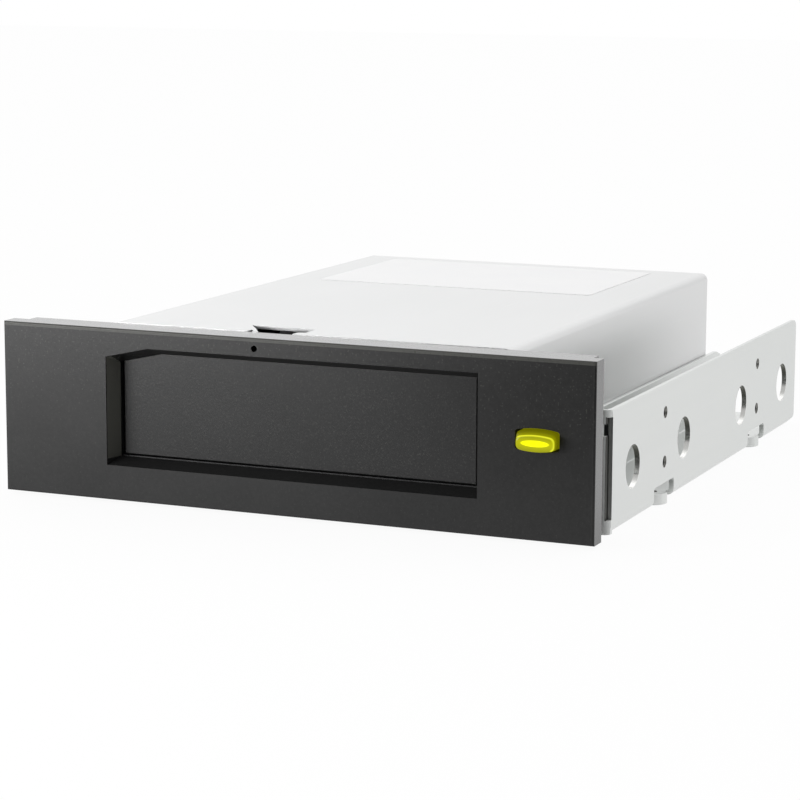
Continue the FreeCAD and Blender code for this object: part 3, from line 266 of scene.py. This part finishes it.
def rolledSheet(name, look):
    # rolled steel: faint streaks along the rolling direction, soft patches, hairline marks
    f = Finish(bpy.data.materials.new(name))
    streaks = f.noise(1.0, 4.0, 0.6, at=f.place(scale=look["stretch"]))
    patches = f.noise(look["patch"], 3.0, 0.5)
    specks = f.noise(2600.0, 1.0, 0.5)
    hairAt = f.place(scale=tuple(v * 3.1 for v in look["stretch"]), turn=(0.0, 0.0, 0.35))
    hairs = f.noise(1.0, 2.0, 0.4, at=hairAt).ramp(0.70, 0.80)
    tone = streaks.ramp(0.3, 0.7) * 0.35 + patches.ramp(0.3, 0.7) * 0.65
    colour = f.mix(tone, look["dark"], look["light"])
    rough = look["rough"] + (patches - 0.5) * look["roughSpread"] + (streaks - 0.5) * 0.05 - hairs * 0.05
    height = streaks * 0.5 + specks * 0.3 - hairs * 0.2
    metal = look["metal"]
    if "punched" in look:
        # the punched walls are burnished and carry a painted reflection, pale below and dark above; the slot's sheared
        # edge is painted near black as the shade in the gap; the flange's zinc is dull and pale, and the bosses have
        # turned rings
        punched = look["punched"]
        x, y, z = f.axes()
        wall, slotShade, flange, boss = punchedZones(punched, x, y, z)
        # painted reflection on the hole walls: pale below the middle, dark above
        wallPaintedReflection = f.mix((z - punched["holesUp"]).ramp(*punched["wallFade"]), punched["wallPaintedLit"], punched["wallPaintedShade"])
        # painted shade: the slot's edge is painted near black
        colour = f.mix(slotShade, f.mix(wall, colour, wallPaintedReflection), punched["slotShadeTone"])
        rough = rough - wall * punched["wallGloss"]
        rings = (z * (wholeTurn / punched["ringPitch"])).sine() * 0.5 + 0.5
        height = height + rings * boss * punched["ringRise"]
        metal = metal * (1.0 - flange)
    normal = f.bump(height, look["relief"], look.get("bump", 0.35))
    return f.surface(f.shader(Base_Color=colour, Roughness=rough, Metallic=metal, Normal=normal))


coverLook = dict(stretch=(300.0, 12.0, 300.0), patch=16.0, dark=(0.68, 0.685, 0.685), light=(0.705, 0.708, 0.708),
                 rough=0.35, roughSpread=0.08, metal=0.88, relief=0.00002, bump=0.25)
bracketLook = dict(stretch=(300.0, 10.0, 300.0), patch=18.0, dark=(0.655, 0.672, 0.660),
                   light=(0.69, 0.703, 0.692), rough=0.36, roughSpread=0.08, metal=0.92, relief=0.00002, bump=0.25,
                   punched=dict(holesAt=(-63.5 * mm, -24.62 * mm, 24.62 * mm, 64.0 * mm), holesUp=13.2 * mm,
                                holeR=5.0 * mm, rim=0.12 * mm, wallFrom=71.5 * mm, wallGloss=0.14,
                                # colours of the hole walls' painted reflection: the lit one below, the shaded one
                                # above
                                wallFade=(-1.5 * mm, 2.0 * mm), wallPaintedLit=(0.80, 0.80, 0.78),
                                wallPaintedShade=(0.16, 0.16, 0.14), slotFrom=71.9 * mm, slotTo=72.15 * mm,
                                slotBack=-77.2 * mm, slotLow=3.6 * mm, slotHigh=27.1 * mm,
                                # colour of the painted shade on the slot's edge
                                slotShadeTone=(0.05, 0.05, 0.045), flangeBack=-78.6 * mm, bossTop=2.4 * mm,
                                ringPitch=0.47 * mm, ringRise=3.0))
steelLook = dict(stretch=(900.0, 60.0, 900.0), patch=120.0, dark=(0.50, 0.51, 0.52), light=(0.62, 0.63, 0.64),
                 rough=0.26, roughSpread=0.12, metal=1.0, relief=0.00001)
threadSteelLook = dict(stretch=(600.0, 600.0, 600.0), patch=300.0, dark=(0.13, 0.13, 0.12),
                       light=(0.34, 0.34, 0.32), rough=0.34, roughSpread=0.15, metal=1.0, relief=0.00001)
brassLook = dict(stretch=(700.0, 700.0, 90.0), patch=140.0, dark=(0.62, 0.44, 0.17), light=(0.76, 0.58, 0.27),
                 rough=0.24, roughSpread=0.10, metal=1.0, relief=0.00001)
goldLook = dict(stretch=(900.0, 90.0, 900.0), patch=200.0, dark=(0.78, 0.56, 0.20), light=(0.90, 0.70, 0.32),
                rough=0.18, roughSpread=0.06, metal=1.0, relief=0.000005)
canLook = dict(stretch=(300.0, 300.0, 30.0), patch=90.0, dark=(0.55, 0.55, 0.56), light=(0.66, 0.66, 0.67),
               rough=0.22, roughSpread=0.10, metal=1.0, relief=0.00001)

labelLook = dict(fibre=1800.0, mottle=70.0, dark=(0.857, 0.857, 0.862), light=(0.87, 0.87, 0.87), rough=0.34)


def labelStock(look):
    # coated paper: barely off-white, faint mottling, satin film
    f = Finish(bpy.data.materials.new("labelStock"))
    fibres = f.noise(look["fibre"], 3.0, 0.6)
    mottling = f.noise(look["mottle"], 3.0, 0.5)
    colour = f.mix(mottling.ramp(0.3, 0.7), look["dark"], look["light"])
    return f.surface(f.shader(Base_Color=colour, Roughness=look["rough"] + (fibres - 0.5) * 0.12,
                              Normal=f.bump(fibres, 0.00001, 0.4)))


boardLook = dict(mask=(0.006, 0.075, 0.030), track=(0.014, 0.150, 0.060), via=(0.62, 0.50, 0.22), waves=1250.0,
                 trackEdge=0.72, cells=55.0, viaScale=260.0, viaR=0.10, rough=0.30, relief=0.00003)


def circuitBoard(look):
    # solder mask over copper: tracks in two directions stand a little higher and paler, with vias
    f = Finish(bpy.data.materials.new("circuitBoard"))
    x, y, z = f.axes()
    cell = f.noise(look["cells"], 0.0, 0.5)
    tracks = ((x * look["waves"]).sine() > look["trackEdge"]) * (cell > 0.5)
    crossing = (((y + z) * look["waves"]).sine() > look["trackEdge"]) * (cell < 0.5)
    copper = tracks.most(crossing)
    dots = f.add("ShaderNodeTexVoronoi", values={"Vector": f.place(), "Scale": look["viaScale"], "Randomness": 0.7})
    vias = dots < look["viaR"]
    colour = f.mix(vias, f.mix(copper, look["mask"], look["track"]), look["via"])
    dust = f.noise(400.0, 2.0, 0.5)
    return f.surface(f.shader(Base_Color=colour, Roughness=look["rough"] + (dust - 0.5) * 0.15, Metallic=vias * 0.9,
                              Normal=f.bump(copper.most(vias), look["relief"], 0.6)))


lampLook = dict(haze=900.0, dark=(0.80, 0.86, 0.30), light=(0.92, 0.96, 0.45), rough=0.3, strength=1.2)


def lampEpoxy(look):
    # clear epoxy, lit from within
    f = Finish(bpy.data.materials.new("lampEpoxy"))
    colour = f.mix(f.noise(look["haze"], 1.0, 0.5), look["dark"], look["light"])
    return f.surface(f.shader(Base_Color=colour, Roughness=look["rough"], Emission_Color=colour,
                              Emission_Strength=look["strength"]))


buttonLook = dict(ovalX=61.28 * mm, ovalZ=23.15 * mm, ovalWide=3.56 * mm, ovalHigh=0.79 * mm, faceX=61.2 * mm,
                  faceZ=23.1 * mm, faceHalf=3.9 * mm, faceHigh=1.42 * mm, halo=0.16, rightHighlight=0.9,
                  # edge is the colour of the painted rim highlight
                  lit=(0.95, 0.96, 0.0), face=(0.28, 0.285, 0.0), edge=(0.70, 0.72, 0.02), side=(0.26, 0.26, 0.0),
                  root=(0.13, 0.13, 0.0), dim=(0.02, 0.02, 0.0), dimming=0.75, rough=0.22, ior=1.28, strength=0.95)


def buttonPlastic(look):
    # tinted plastic lit from behind: an oval light guide in the front face, painted highlights along the upper
    # and right rims, and sides that dim towards the root
    f = Finish(bpy.data.materials.new("buttonPlastic"))
    x, y, z = f.axes()
    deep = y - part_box("eject_button")[0][1]
    depth = (deep - 0.30 * mm).ramp(0.0, 2.4 * mm)
    across = (x - look["ovalX"]) / look["ovalWide"]
    upward = (z - look["ovalZ"]) / look["ovalHigh"]
    away = (across * across + upward * upward).root()
    onFace = 1.0 - deep.ramp(0.10 * mm, 0.16 * mm)
    oval = (1.0 - away.ramp(0.84, 1.0)) * onFace
    halo = (1.0 - away.ramp(0.9, 2.0)) * onFace * look["halo"]
    rim = deep.ramp(0.04 * mm, 0.16 * mm) * (1.0 - deep.ramp(0.34 * mm, 0.60 * mm))
    upper = (z - look["faceZ"]).ramp(look["faceHigh"] * 0.55, look["faceHigh"])
    right = (x - look["faceX"]).ramp(look["faceHalf"] * 0.86, look["faceHalf"])
    haze = f.noise(420.0, 2.0, 0.5)
    streaks = f.noise(1.0, 2.0, 0.5, at=f.place(scale=(180.0, 900.0, 1500.0)))
    face = f.mix(halo + (haze - 0.5) * 0.10 + (streaks - 0.5) * 0.10, look["face"], look["lit"])
    side = f.mix(depth, look["side"], look["root"])
    body = f.mix(deep.ramp(0.12 * mm, 0.50 * mm), face, side)
    # painted highlight along the upper rim and, a little weaker, the right rim
    body = f.mix(rim * upper.most(right * look["rightHighlight"]), body, look["edge"])
    colour = f.mix(oval, body, look["lit"])
    return f.surface(f.shader(Base_Color=f.mix(look["dimming"], colour, look["dim"]),
                              Roughness=look["rough"] + (haze - 0.5) * 0.1, IOR=look["ior"], Emission_Color=colour,
                              Emission_Strength=look["strength"],
                              Normal=f.bump(streaks * 0.3 - oval * 0.7, 0.00006, 0.5)))


finishes = {
    "bezel_plastic": sparkedPlastic("bezelPlastic", bezelLook),
    "door_plastic": sparkedPlastic("doorPlastic", doorLook),
    "guide_plastic": sparkedPlastic("guidePlastic", guideLook),
    "switch_black": sparkedPlastic("switchBlack", housingLook),
    "connector_plastic": sparkedPlastic("connectorPlastic", housingLook),
    "chip_black": sparkedPlastic("chipBlack", housingLook),
    "gear_plastic": sparkedPlastic("gearAcetal", acetalLook),
    "galvanised_sheet": rolledSheet("coverSheet", coverLook),
    "bracket_sheet": rolledSheet("bracketSheet", bracketLook),
    "steel_rod": rolledSheet("brightSteel", steelLook),
    "brass_gear": rolledSheet("turnedBrass", brassLook),
    "contact_gold": rolledSheet("contactGold", goldLook),
    "motor_can": rolledSheet("motorCan", canLook),
    "label_stock": labelStock(labelLook),
    "circuit_board": circuitBoard(boardLook),
    "lamp": lampEpoxy(lampLook),
    "button_lens": buttonPlastic(buttonLook),
}
slotOf = {row["node"]: row["material_slot"] for row in frame["record"]["subparts"]}
for name, item in nodes.items():
    item.data.materials.clear()
    item.data.materials.append(finishes[slotOf[name]])
print("finishes set on", len(nodes), "nodes")


def gridPiece(name, grids, finish, body, node=None):
    # each grid is an array (rows, columns, 3) that wraps along its columns; rows wrap too where closed is True.
    # A piece that stands for a node hides that node and takes the finish it is given
    points, faces, start = [], [], 0
    for grid, closed in grids:
        rows, columns = grid.shape[:2]
        u = np.arange(rows if closed else rows - 1)[:, None]
        v = np.arange(columns)[None, :]
        corners = [(a % rows) * columns + b % columns for a, b in ((u, v), (u + 1, v), (u + 1, v + 1), (u, v + 1))]
        quads = np.stack(corners, -1).reshape(-1, 4)
        flat = grid.reshape(-1, 3)
        a, b, c, d = (flat[quads[:, k]] for k in range(4))
        volume = np.einsum("ij,ij->i", a, np.cross(b, c)).sum() + np.einsum("ij,ij->i", a, np.cross(c, d)).sum()
        faces.append(start + (quads if volume > 0 else quads[:, ::-1]))
        points.append(flat)
        start += len(flat)
    points, faces = np.concatenate(points), np.concatenate(faces)
    mesh = bpy.data.meshes.new(name)
    mesh.from_pydata((points * mm).tolist(), [], faces.tolist())
    mesh.polygons.foreach_set("use_smooth", np.ones(len(faces), bool))
    work = bmesh.new()
    work.from_mesh(mesh)
    bmesh.ops.remove_doubles(work, verts=work.verts, dist=1e-7)
    work.to_mesh(mesh)
    work.free()
    mesh.materials.append(finish)
    piece = bpy.data.objects.new(name, mesh)
    bpy.context.collection.objects.link(piece)
    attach(piece, body)
    if node:
        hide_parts(node)


def ridge(turn):
    # 0 in a thread's groove and 1 on its crest, once for each whole turn
    return 1.0 - np.abs((turn % 1.0) * 2.0 - 1.0)


def ringAngles(count):
    return np.linspace(0.0, wholeTurn, count, endpoint=False)[None, :]


threadLook = dict(pitch=0.5, rootR=1.45, depth=0.22, runOut=0.25, around=40, perTurn=8, outerWall=0.05,
                  sideDepth=2.5, bossDepth=2.6, outer=73.025, holeY=39.62, sideZ=(10.0, 21.84), bossX=69.85,
                  inset=0.02)


def threadRing(place, axis, length, look):
    # wall of a tapped hole: radius = root - depth * ridge(height / pitch - angle / turn), closed by an outer wall
    angle = ringAngles(look["around"])
    rise = np.linspace(0.0, length, int(length / look["pitch"] * look["perTurn"]) + 1)[:, None]
    fade = np.clip(np.minimum(rise, length - rise) / look["runOut"], 0.0, 1.0)
    inner = look["rootR"] - look["depth"] * fade * ridge(rise / look["pitch"] - angle / wholeTurn)
    radius = np.concatenate([inner, np.full_like(inner[:2], look["rootR"] + look["outerWall"])])
    height = np.concatenate([rise, [[length]], [[0.0]]]) + 0.0 * angle
    along = np.array(axis, float)
    side = np.cross(along, (0.3, 0.5, 0.8))  # any direction across the axis
    side /= np.linalg.norm(side)
    up = np.cross(along, side)
    grid = (np.array(place) + height[..., None] * along + (radius * np.cos(angle))[..., None] * side
            + (radius * np.sin(angle))[..., None] * up)
    return grid, True


def tappedHoles(side, look):
    # two holes above each other at both depths in the side plate, and one in each boss below
    rings = []
    for y in (-look["holeY"], look["holeY"]):
        for z in look["sideZ"]:
            rings.append(threadRing((side * (look["outer"] - look["sideDepth"]), y, z), (side, 0, 0),
                                    look["sideDepth"] - look["inset"], look))
        rings.append(threadRing((side * look["bossX"], y, look["inset"]), (0, 0, 1),
                                look["bossDepth"] - 2 * look["inset"], look))
    return rings


threadSteel = rolledSheet("threadSteel", threadSteelLook)
gridPiece("right_threads", tappedHoles(1, threadLook), threadSteel, "drive")
gridPiece("left_threads", tappedHoles(-1, threadLook), threadSteel, "drive")
print("threads made")


def wireTube(path, radius, around=12):
    # round wire: circles carried along a path by frames that turn as little as they can, with closed ends
    ahead = np.gradient(path, axis=0)
    ahead /= np.linalg.norm(ahead, axis=1)[:, None]
    side = np.cross(ahead, np.array([0.31, 0.52, 0.79]))  # any direction across the wire's start
    for k in range(1, len(path)):
        step = side[k - 1] - ahead[k] * (side[k - 1] @ ahead[k])
        side[k] = step / np.linalg.norm(step)
    side[0] /= np.linalg.norm(side[0])
    up = np.cross(ahead, side)
    angle = ringAngles(around)[..., None]
    ring = np.cos(angle) * side[:, None] + np.sin(angle) * up[:, None]
    ends = [path[k, None, None] + 0.0 * ring[:1] for k in (0, -1)]
    return np.concatenate([ends[0], path[:, None] + radius * ring, ends[1]]), False


springLook = dict(wire=0.15, perTurn=36, hingeY=-86.5, hingeZ=37.4, coilR=1.30, turns=5.5, bendR=0.30,
                  legDown=8.0, legBack=9.0, returnTurns=9, closing=0.045)


def doorSpring(look):
    # torsion spring: leg under the roof, coil round the hinge pin, leg down the door's back
    low, high = (np.array(v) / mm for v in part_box("door_spring"))
    angle = np.linspace(0.25 * wholeTurn, (0.25 + look["turns"]) * wholeTurn, int(look["turns"] * look["perTurn"]))
    x = high[0] - look["wire"] - (high[0] - low[0] - 2 * look["wire"]) * np.linspace(0.0, 1.0, len(angle))
    coil = np.stack([x, look["hingeY"] + look["coilR"] * np.cos(angle),
                     look["hingeZ"] + look["coilR"] * np.sin(angle)], 1)
    back = np.linspace(look["legBack"], 0.35, 12)[:, None] * np.array([[0.0, 1.0, 0.0]]) + coil[:1]
    bend = np.linspace(0.15, 1.0, 8) * np.pi / 2
    turn = coil[-1:] + look["bendR"] * np.stack([0 * bend, np.sin(bend), np.cos(bend) - 1.0], 1)
    fall = np.linspace(0.3, look["legDown"] - look["coilR"] - 0.4, 12)[:, None]
    return wireTube(np.concatenate([back, coil, turn, turn[-1:] - fall * np.array([[0.0, 0.0, 1.0]])]), look["wire"])


def compressionSpring(look):
    # helix along y whose first and last turns lie close, as ground ends do
    low, high = (np.array(v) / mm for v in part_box("release_spring"))
    t = np.linspace(0.0, 1.0, look["returnTurns"] * look["perTurn"])
    angle = wholeTurn * look["returnTurns"] * t
    middle = (low + high) / 2
    radius = (high[0] - low[0]) / 2 - look["wire"]
    y = low[1] + look["wire"] + (high[1] - low[1] - 2 * look["wire"]) * (t + look["closing"] * np.sin(wholeTurn * t))
    path = np.stack([middle[0] + radius * np.cos(angle), y, middle[2] + radius * np.sin(angle)], 1)
    return wireTube(path, look["wire"])


buttonShape = dict(middleX=60.7, middleZ=23.3, rootW=9.7, rootH=4.7, crown=0.5, cut=0.42, faceX=61.2, faceZ=23.1,
                   faceW=9.0, faceH=3.8, proud=3.1, edge=0.45, dome=0.05, inside=5.0, lip=2.0, lipLong=1.0,
                   stemR=1.5, around=120, squeeze=0.62, blend=24)


def barrelRadius(angle, w, h, look):
    # polar radius of a rectangle with bowed long sides and cut corners: the least of three limits (flat ends, a
    # parabola z = h - crown * (x / w)^2, and a 45 degree cut), blended so that its corners round off
    c, s = np.abs(np.cos(angle)) + 1e-9, np.abs(np.sin(angle))
    ends = w / c
    bowed = 2 * h / (s + np.sqrt(s ** 2 + 4 * look["crown"] * c ** 2 / w ** 2 * h))
    corner = (w + h - look["crown"] - look["cut"]) / (c + s)
    return (ends ** -look["blend"] + bowed ** -look["blend"] + corner ** -look["blend"]) ** (-1 / look["blend"])


def barrelLoft(rows, look):
    # rows of (y, middle x, middle z, width, height, share of the radius); closed at both ends by rows of share 0.
    # The angles crowd towards the short ends, where the outline bends
    turn = np.linspace(0, wholeTurn, look["around"], endpoint=False)
    angle = np.arctan2(np.sin(turn) * look["squeeze"], np.cos(turn))
    loops = []
    for y, x, z, w, h, share in rows:
        r = barrelRadius(angle, w / 2, h / 2, look) * share
        loops.append(np.stack([x + r * np.cos(angle), y + 0 * r, z + r * np.sin(angle)], -1))
    return np.array(loops), False


def buttonCap(look):
    # domed front face, quarter-round rim, sides that flare back to the root, then the part inside the bezel
    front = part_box("eject_button")[0][1] / mm
    wide, high, edge = look["faceW"], look["faceH"], look["edge"]
    rows = [(front + look["dome"] * share ** 2, look["faceX"], look["faceZ"], wide - 2 * edge, high - 2 * edge, share)
            for share in (0.0, 0.35, 0.7, 1.0)]
    for turn in np.radians([15, 30, 45, 60, 75, 90]):
        shrink = 2 * edge * (1 - np.sin(turn))
        rows.append((front + look["dome"] + edge * (1 - np.cos(turn)), look["faceX"], look["faceZ"], wide - shrink,
                     high - shrink, 1.0))
    start = np.array(rows[-1])
    root = np.array([front + look["proud"], look["middleX"], look["middleZ"], look["rootW"], look["rootH"], 1.0])
    rows += [tuple(start + (root - start) * t) for t in np.linspace(0.1, 1.0, 10)]
    rows += [(root[0] + look["inside"], *root[1:5], share) for share in (1.0, 0.0)]
    return barrelLoft(rows, look)


def buttonLip(look):
    # flange that keeps the cap behind the bezel
    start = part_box("eject_button")[0][1] / mm + look["proud"] + look["inside"]
    wide, high = look["rootW"] + look["lip"], look["rootH"] + look["lip"]
    rows = [(start + step, look["middleX"], look["middleZ"], wide, high, share)
            for step, share in ((0.0, 0.0), (0.0, 1.0), (look["lipLong"], 1.0), (look["lipLong"], 0.0))]
    return barrelLoft(rows, look)


def buttonStem(look):
    # round stem that presses the switch: a thick wire along y
    low, high = (v[1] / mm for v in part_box("eject_button"))
    y = np.linspace(low + look["proud"] + look["inside"] + 0.5, high, 4)
    return wireTube(np.stack([look["middleX"] + 0 * y, y, look["middleZ"] + 0 * y], 1), look["stemR"], 32)


screwLook = dict(headR=2.8, headHigh=1.9, crown=0.55, brow=0.5, wing=2.1, slot=0.42, sink=1.15, shankR=1.2,
                 shankLong=3.85, pitch=0.5, cut=0.16, faceX=52.05, up=13.2, depths=(-63.5, 24.62), around=72)


def panScrew(side, y, look):
    # pan head turned about x: height falls from crown to rim, a cross of two tapering slots is pressed in its top,
    # and the shank's radius follows a thread's ridge
    angle = ringAngles(look["around"])
    reach = np.linspace(0.0, 1.0, 26)[:, None]
    radius = look["headR"] * np.sin(reach * np.pi / 2) + 0.0 * angle
    fall = look["crown"] * reach ** 2 + (look["headHigh"] - look["crown"] - look["brow"]) * reach ** 8
    across, upward = np.abs(radius * np.cos(angle)), np.abs(radius * np.sin(angle))
    narrow, wide = np.minimum(across, upward), np.maximum(across, upward)
    inSlot = np.clip((look["slot"] - narrow) / 0.12, 0.0, 1.0) * np.clip((look["wing"] / 1.35 - wide) / 0.25, 0.0, 1.0)
    top = look["headHigh"] - fall - inSlot * look["sink"] * np.clip(1.25 - wide / look["wing"], 0.0, 1.0)
    rim = np.array([[0.25], [0.0]]) + 0.0 * angle
    steps = np.linspace(0.0, look["shankLong"], 62)[:, None]
    fade = np.clip((look["shankLong"] - steps) / 0.6, 0.0, 1.0)
    groove = 1.0 - ridge(steps / look["pitch"] - angle / wholeTurn)
    thread = look["shankR"] * (0.55 + 0.45 * fade) - look["cut"] * groove * fade
    tip = 0.0 * angle
    radii = np.concatenate([radius, look["headR"] + 0.0 * rim, thread, tip])
    heights = np.concatenate([top, rim, -steps + 0.0 * angle, tip - look["shankLong"]])
    grid = np.stack([side * (look["faceX"] + heights), y + radii * np.cos(angle) * side,
                     look["up"] + radii * np.sin(angle)], -1)
    return grid, False


gridPiece("button_cap", [buttonCap(buttonShape), buttonLip(buttonShape), buttonStem(buttonShape)],
          finishes["button_lens"], "button", "eject_button")
gridPiece("hinge_spring_wire", [doorSpring(springLook)], finishes["steel_rod"], "drive", "door_spring")
gridPiece("release_spring_wire", [compressionSpring(springLook)], finishes["steel_rod"], "drive", "release_spring")
screws = [panScrew(side, y, screwLook) for side in (-1, 1) for y in screwLook["depths"]]
gridPiece("bracket_pan_screws", screws, finishes["steel_rod"], "drive", "bracket_screws")
print("button, springs and screws made")

cameraSet = dict(place=(0.25564, -0.62045, 0.12992), azimuth=22.9046, elevation=9.6005, roll=0.2840, lens=117.95,
                 shiftX=-0.0243, shiftY=-0.01555, near=0.01, far=50.0)


def makeCamera(look):
    # looks along (-sin a cos e, cos a cos e, -sin e), then rolls about that line
    a, e, r = (math.radians(look[k]) for k in ("azimuth", "elevation", "roll"))
    ahead = Vector((-math.sin(a) * math.cos(e), math.cos(a) * math.cos(e), -math.sin(e)))
    right = Vector((math.cos(a), math.sin(a), 0.0))
    up = right.cross(ahead)
    rolledRight = right * math.cos(r) + up * math.sin(r)
    rolledUp = up * math.cos(r) - right * math.sin(r)
    turn = Matrix((rolledRight, rolledUp, -ahead)).transposed()
    data = bpy.data.cameras.new("camera")
    data.lens, data.sensor_width = look["lens"], 36.0
    data.shift_x, data.shift_y = look["shiftX"], look["shiftY"]
    data.clip_start, data.clip_end = look["near"], look["far"]
    camera = bpy.data.objects.new("camera", data)
    camera.matrix_world = Matrix.Translation(look["place"]) @ turn.to_4x4()
    bpy.context.collection.objects.link(camera)
    bpy.context.scene.camera = camera


makeCamera(cameraSet)

floorLook = dict(half=3.0, below=0.0002, dark=0.89, light=0.90, shown=0.94, mirrored=0.97, dim=0.05,
                 dimX=(-0.12, 0.0), dimY=(-0.24, -0.13))


def makeFloor(look):
    # pale sheet whose own shading is mixed with plain white where the camera or a reflection sees it; reflections
    # find its front right part unlit
    f = Finish(bpy.data.materials.new("paleFloor"))
    shade = f.mix(f.noise(40.0, 3.0, 0.5), grey(look["dark"]), grey(look["light"]))
    plain = f.add("ShaderNodeBsdfDiffuse", values={"Color": shade})
    camera = f.add("ShaderNodeLightPath", out="Is Camera Ray")
    glossy = f.other(camera, "Is Glossy Ray")
    x, y, z = f.axes()
    unlit = x.ramp(*look["dimX"]) * (1.0 - y.ramp(*look["dimY"])) * glossy
    colour = f.mix(unlit, grey(1.0), grey(look["dim"]))
    white = f.add("ShaderNodeEmission", values={"Color": colour, "Strength": 1.0})
    seen = camera.most(f.other(camera, "Is Transmission Ray")) * look["shown"] + glossy * look["mirrored"]
    finish = f.surface(f.add("ShaderNodeMixShader", values={0: seen, 1: plain, 2: white}))
    half, low = look["half"], cadBox[0][2] - look["below"]
    mesh = bpy.data.meshes.new("floor")
    corners = [(-half, -half, low), (half, -half, low), (half, half, low), (-half, half, low)]
    mesh.from_pydata(corners, [], [(0, 1, 2, 3)])
    mesh.materials.append(finish)
    floor = bpy.data.objects.new("floor", mesh)
    bpy.context.collection.objects.link(floor)


makeFloor(floorLook)

worldLook = dict(front=0.04, back=0.85, backFrom=(-0.35, 0.55), left=0.35, leftFrom=(0.0, 0.9), right=0.06,
                 rightFrom=(0.3, 1.0), up=0.50, upFrom=(0.12, 0.65))


def makeWorld(look):
    # white to the camera; as light, a studio that is dim in front, brighter to the left, above and behind
    f = Finish(bpy.data.worlds.new("studio"), "ShaderNodeOutputWorld")
    x, y, z = f.axes("Generated")
    light = look["front"] + y.ramp(*look["backFrom"]) * (look["back"] - look["front"])
    light = light + (-x).ramp(*look["leftFrom"]) * look["left"] + x.ramp(*look["rightFrom"]) * look["right"]
    light = light + z.ramp(*look["upFrom"]) * look["up"]
    seen = f.add("ShaderNodeLightPath", out="Is Camera Ray")
    values = {"Color": (1.0, 1.0, 1.0), "Strength": seen + (1.0 - seen) * light}
    bpy.context.scene.world = f.surface(f.add("ShaderNodeBackground", values=values))


makeWorld(worldLook)

softboxes = [
    dict(name="keyLeft", place=(-1.3, -0.9, 0.55), size=(0.8, 1.0), power=3.0),
    dict(name="nearLeft", place=(-0.25, -0.38, 0.07), size=(0.26, 0.10), power=1.0),
    dict(name="rightRear", place=(1.3, 0.9, 0.4), size=(0.8, 0.6), power=2.0),
]
softboxAim = (0.0, 0.0, 0.02)


def makeSoftbox(box):
    data = bpy.data.lights.new(box["name"], "AREA")
    data.shape = "RECTANGLE"
    data.size, data.size_y = box["size"]
    data.energy = box["power"]
    lamp = bpy.data.objects.new(box["name"], data)
    lamp.location = box["place"]
    lamp.rotation_euler = (Vector(softboxAim) - Vector(box["place"])).to_track_quat("-Z", "Y").to_euler()
    bpy.context.collection.objects.link(lamp)


for box in softboxes:
    makeSoftbox(box)
bpy.context.scene.view_settings.view_transform = "Standard"
print("camera, floor and lights set")
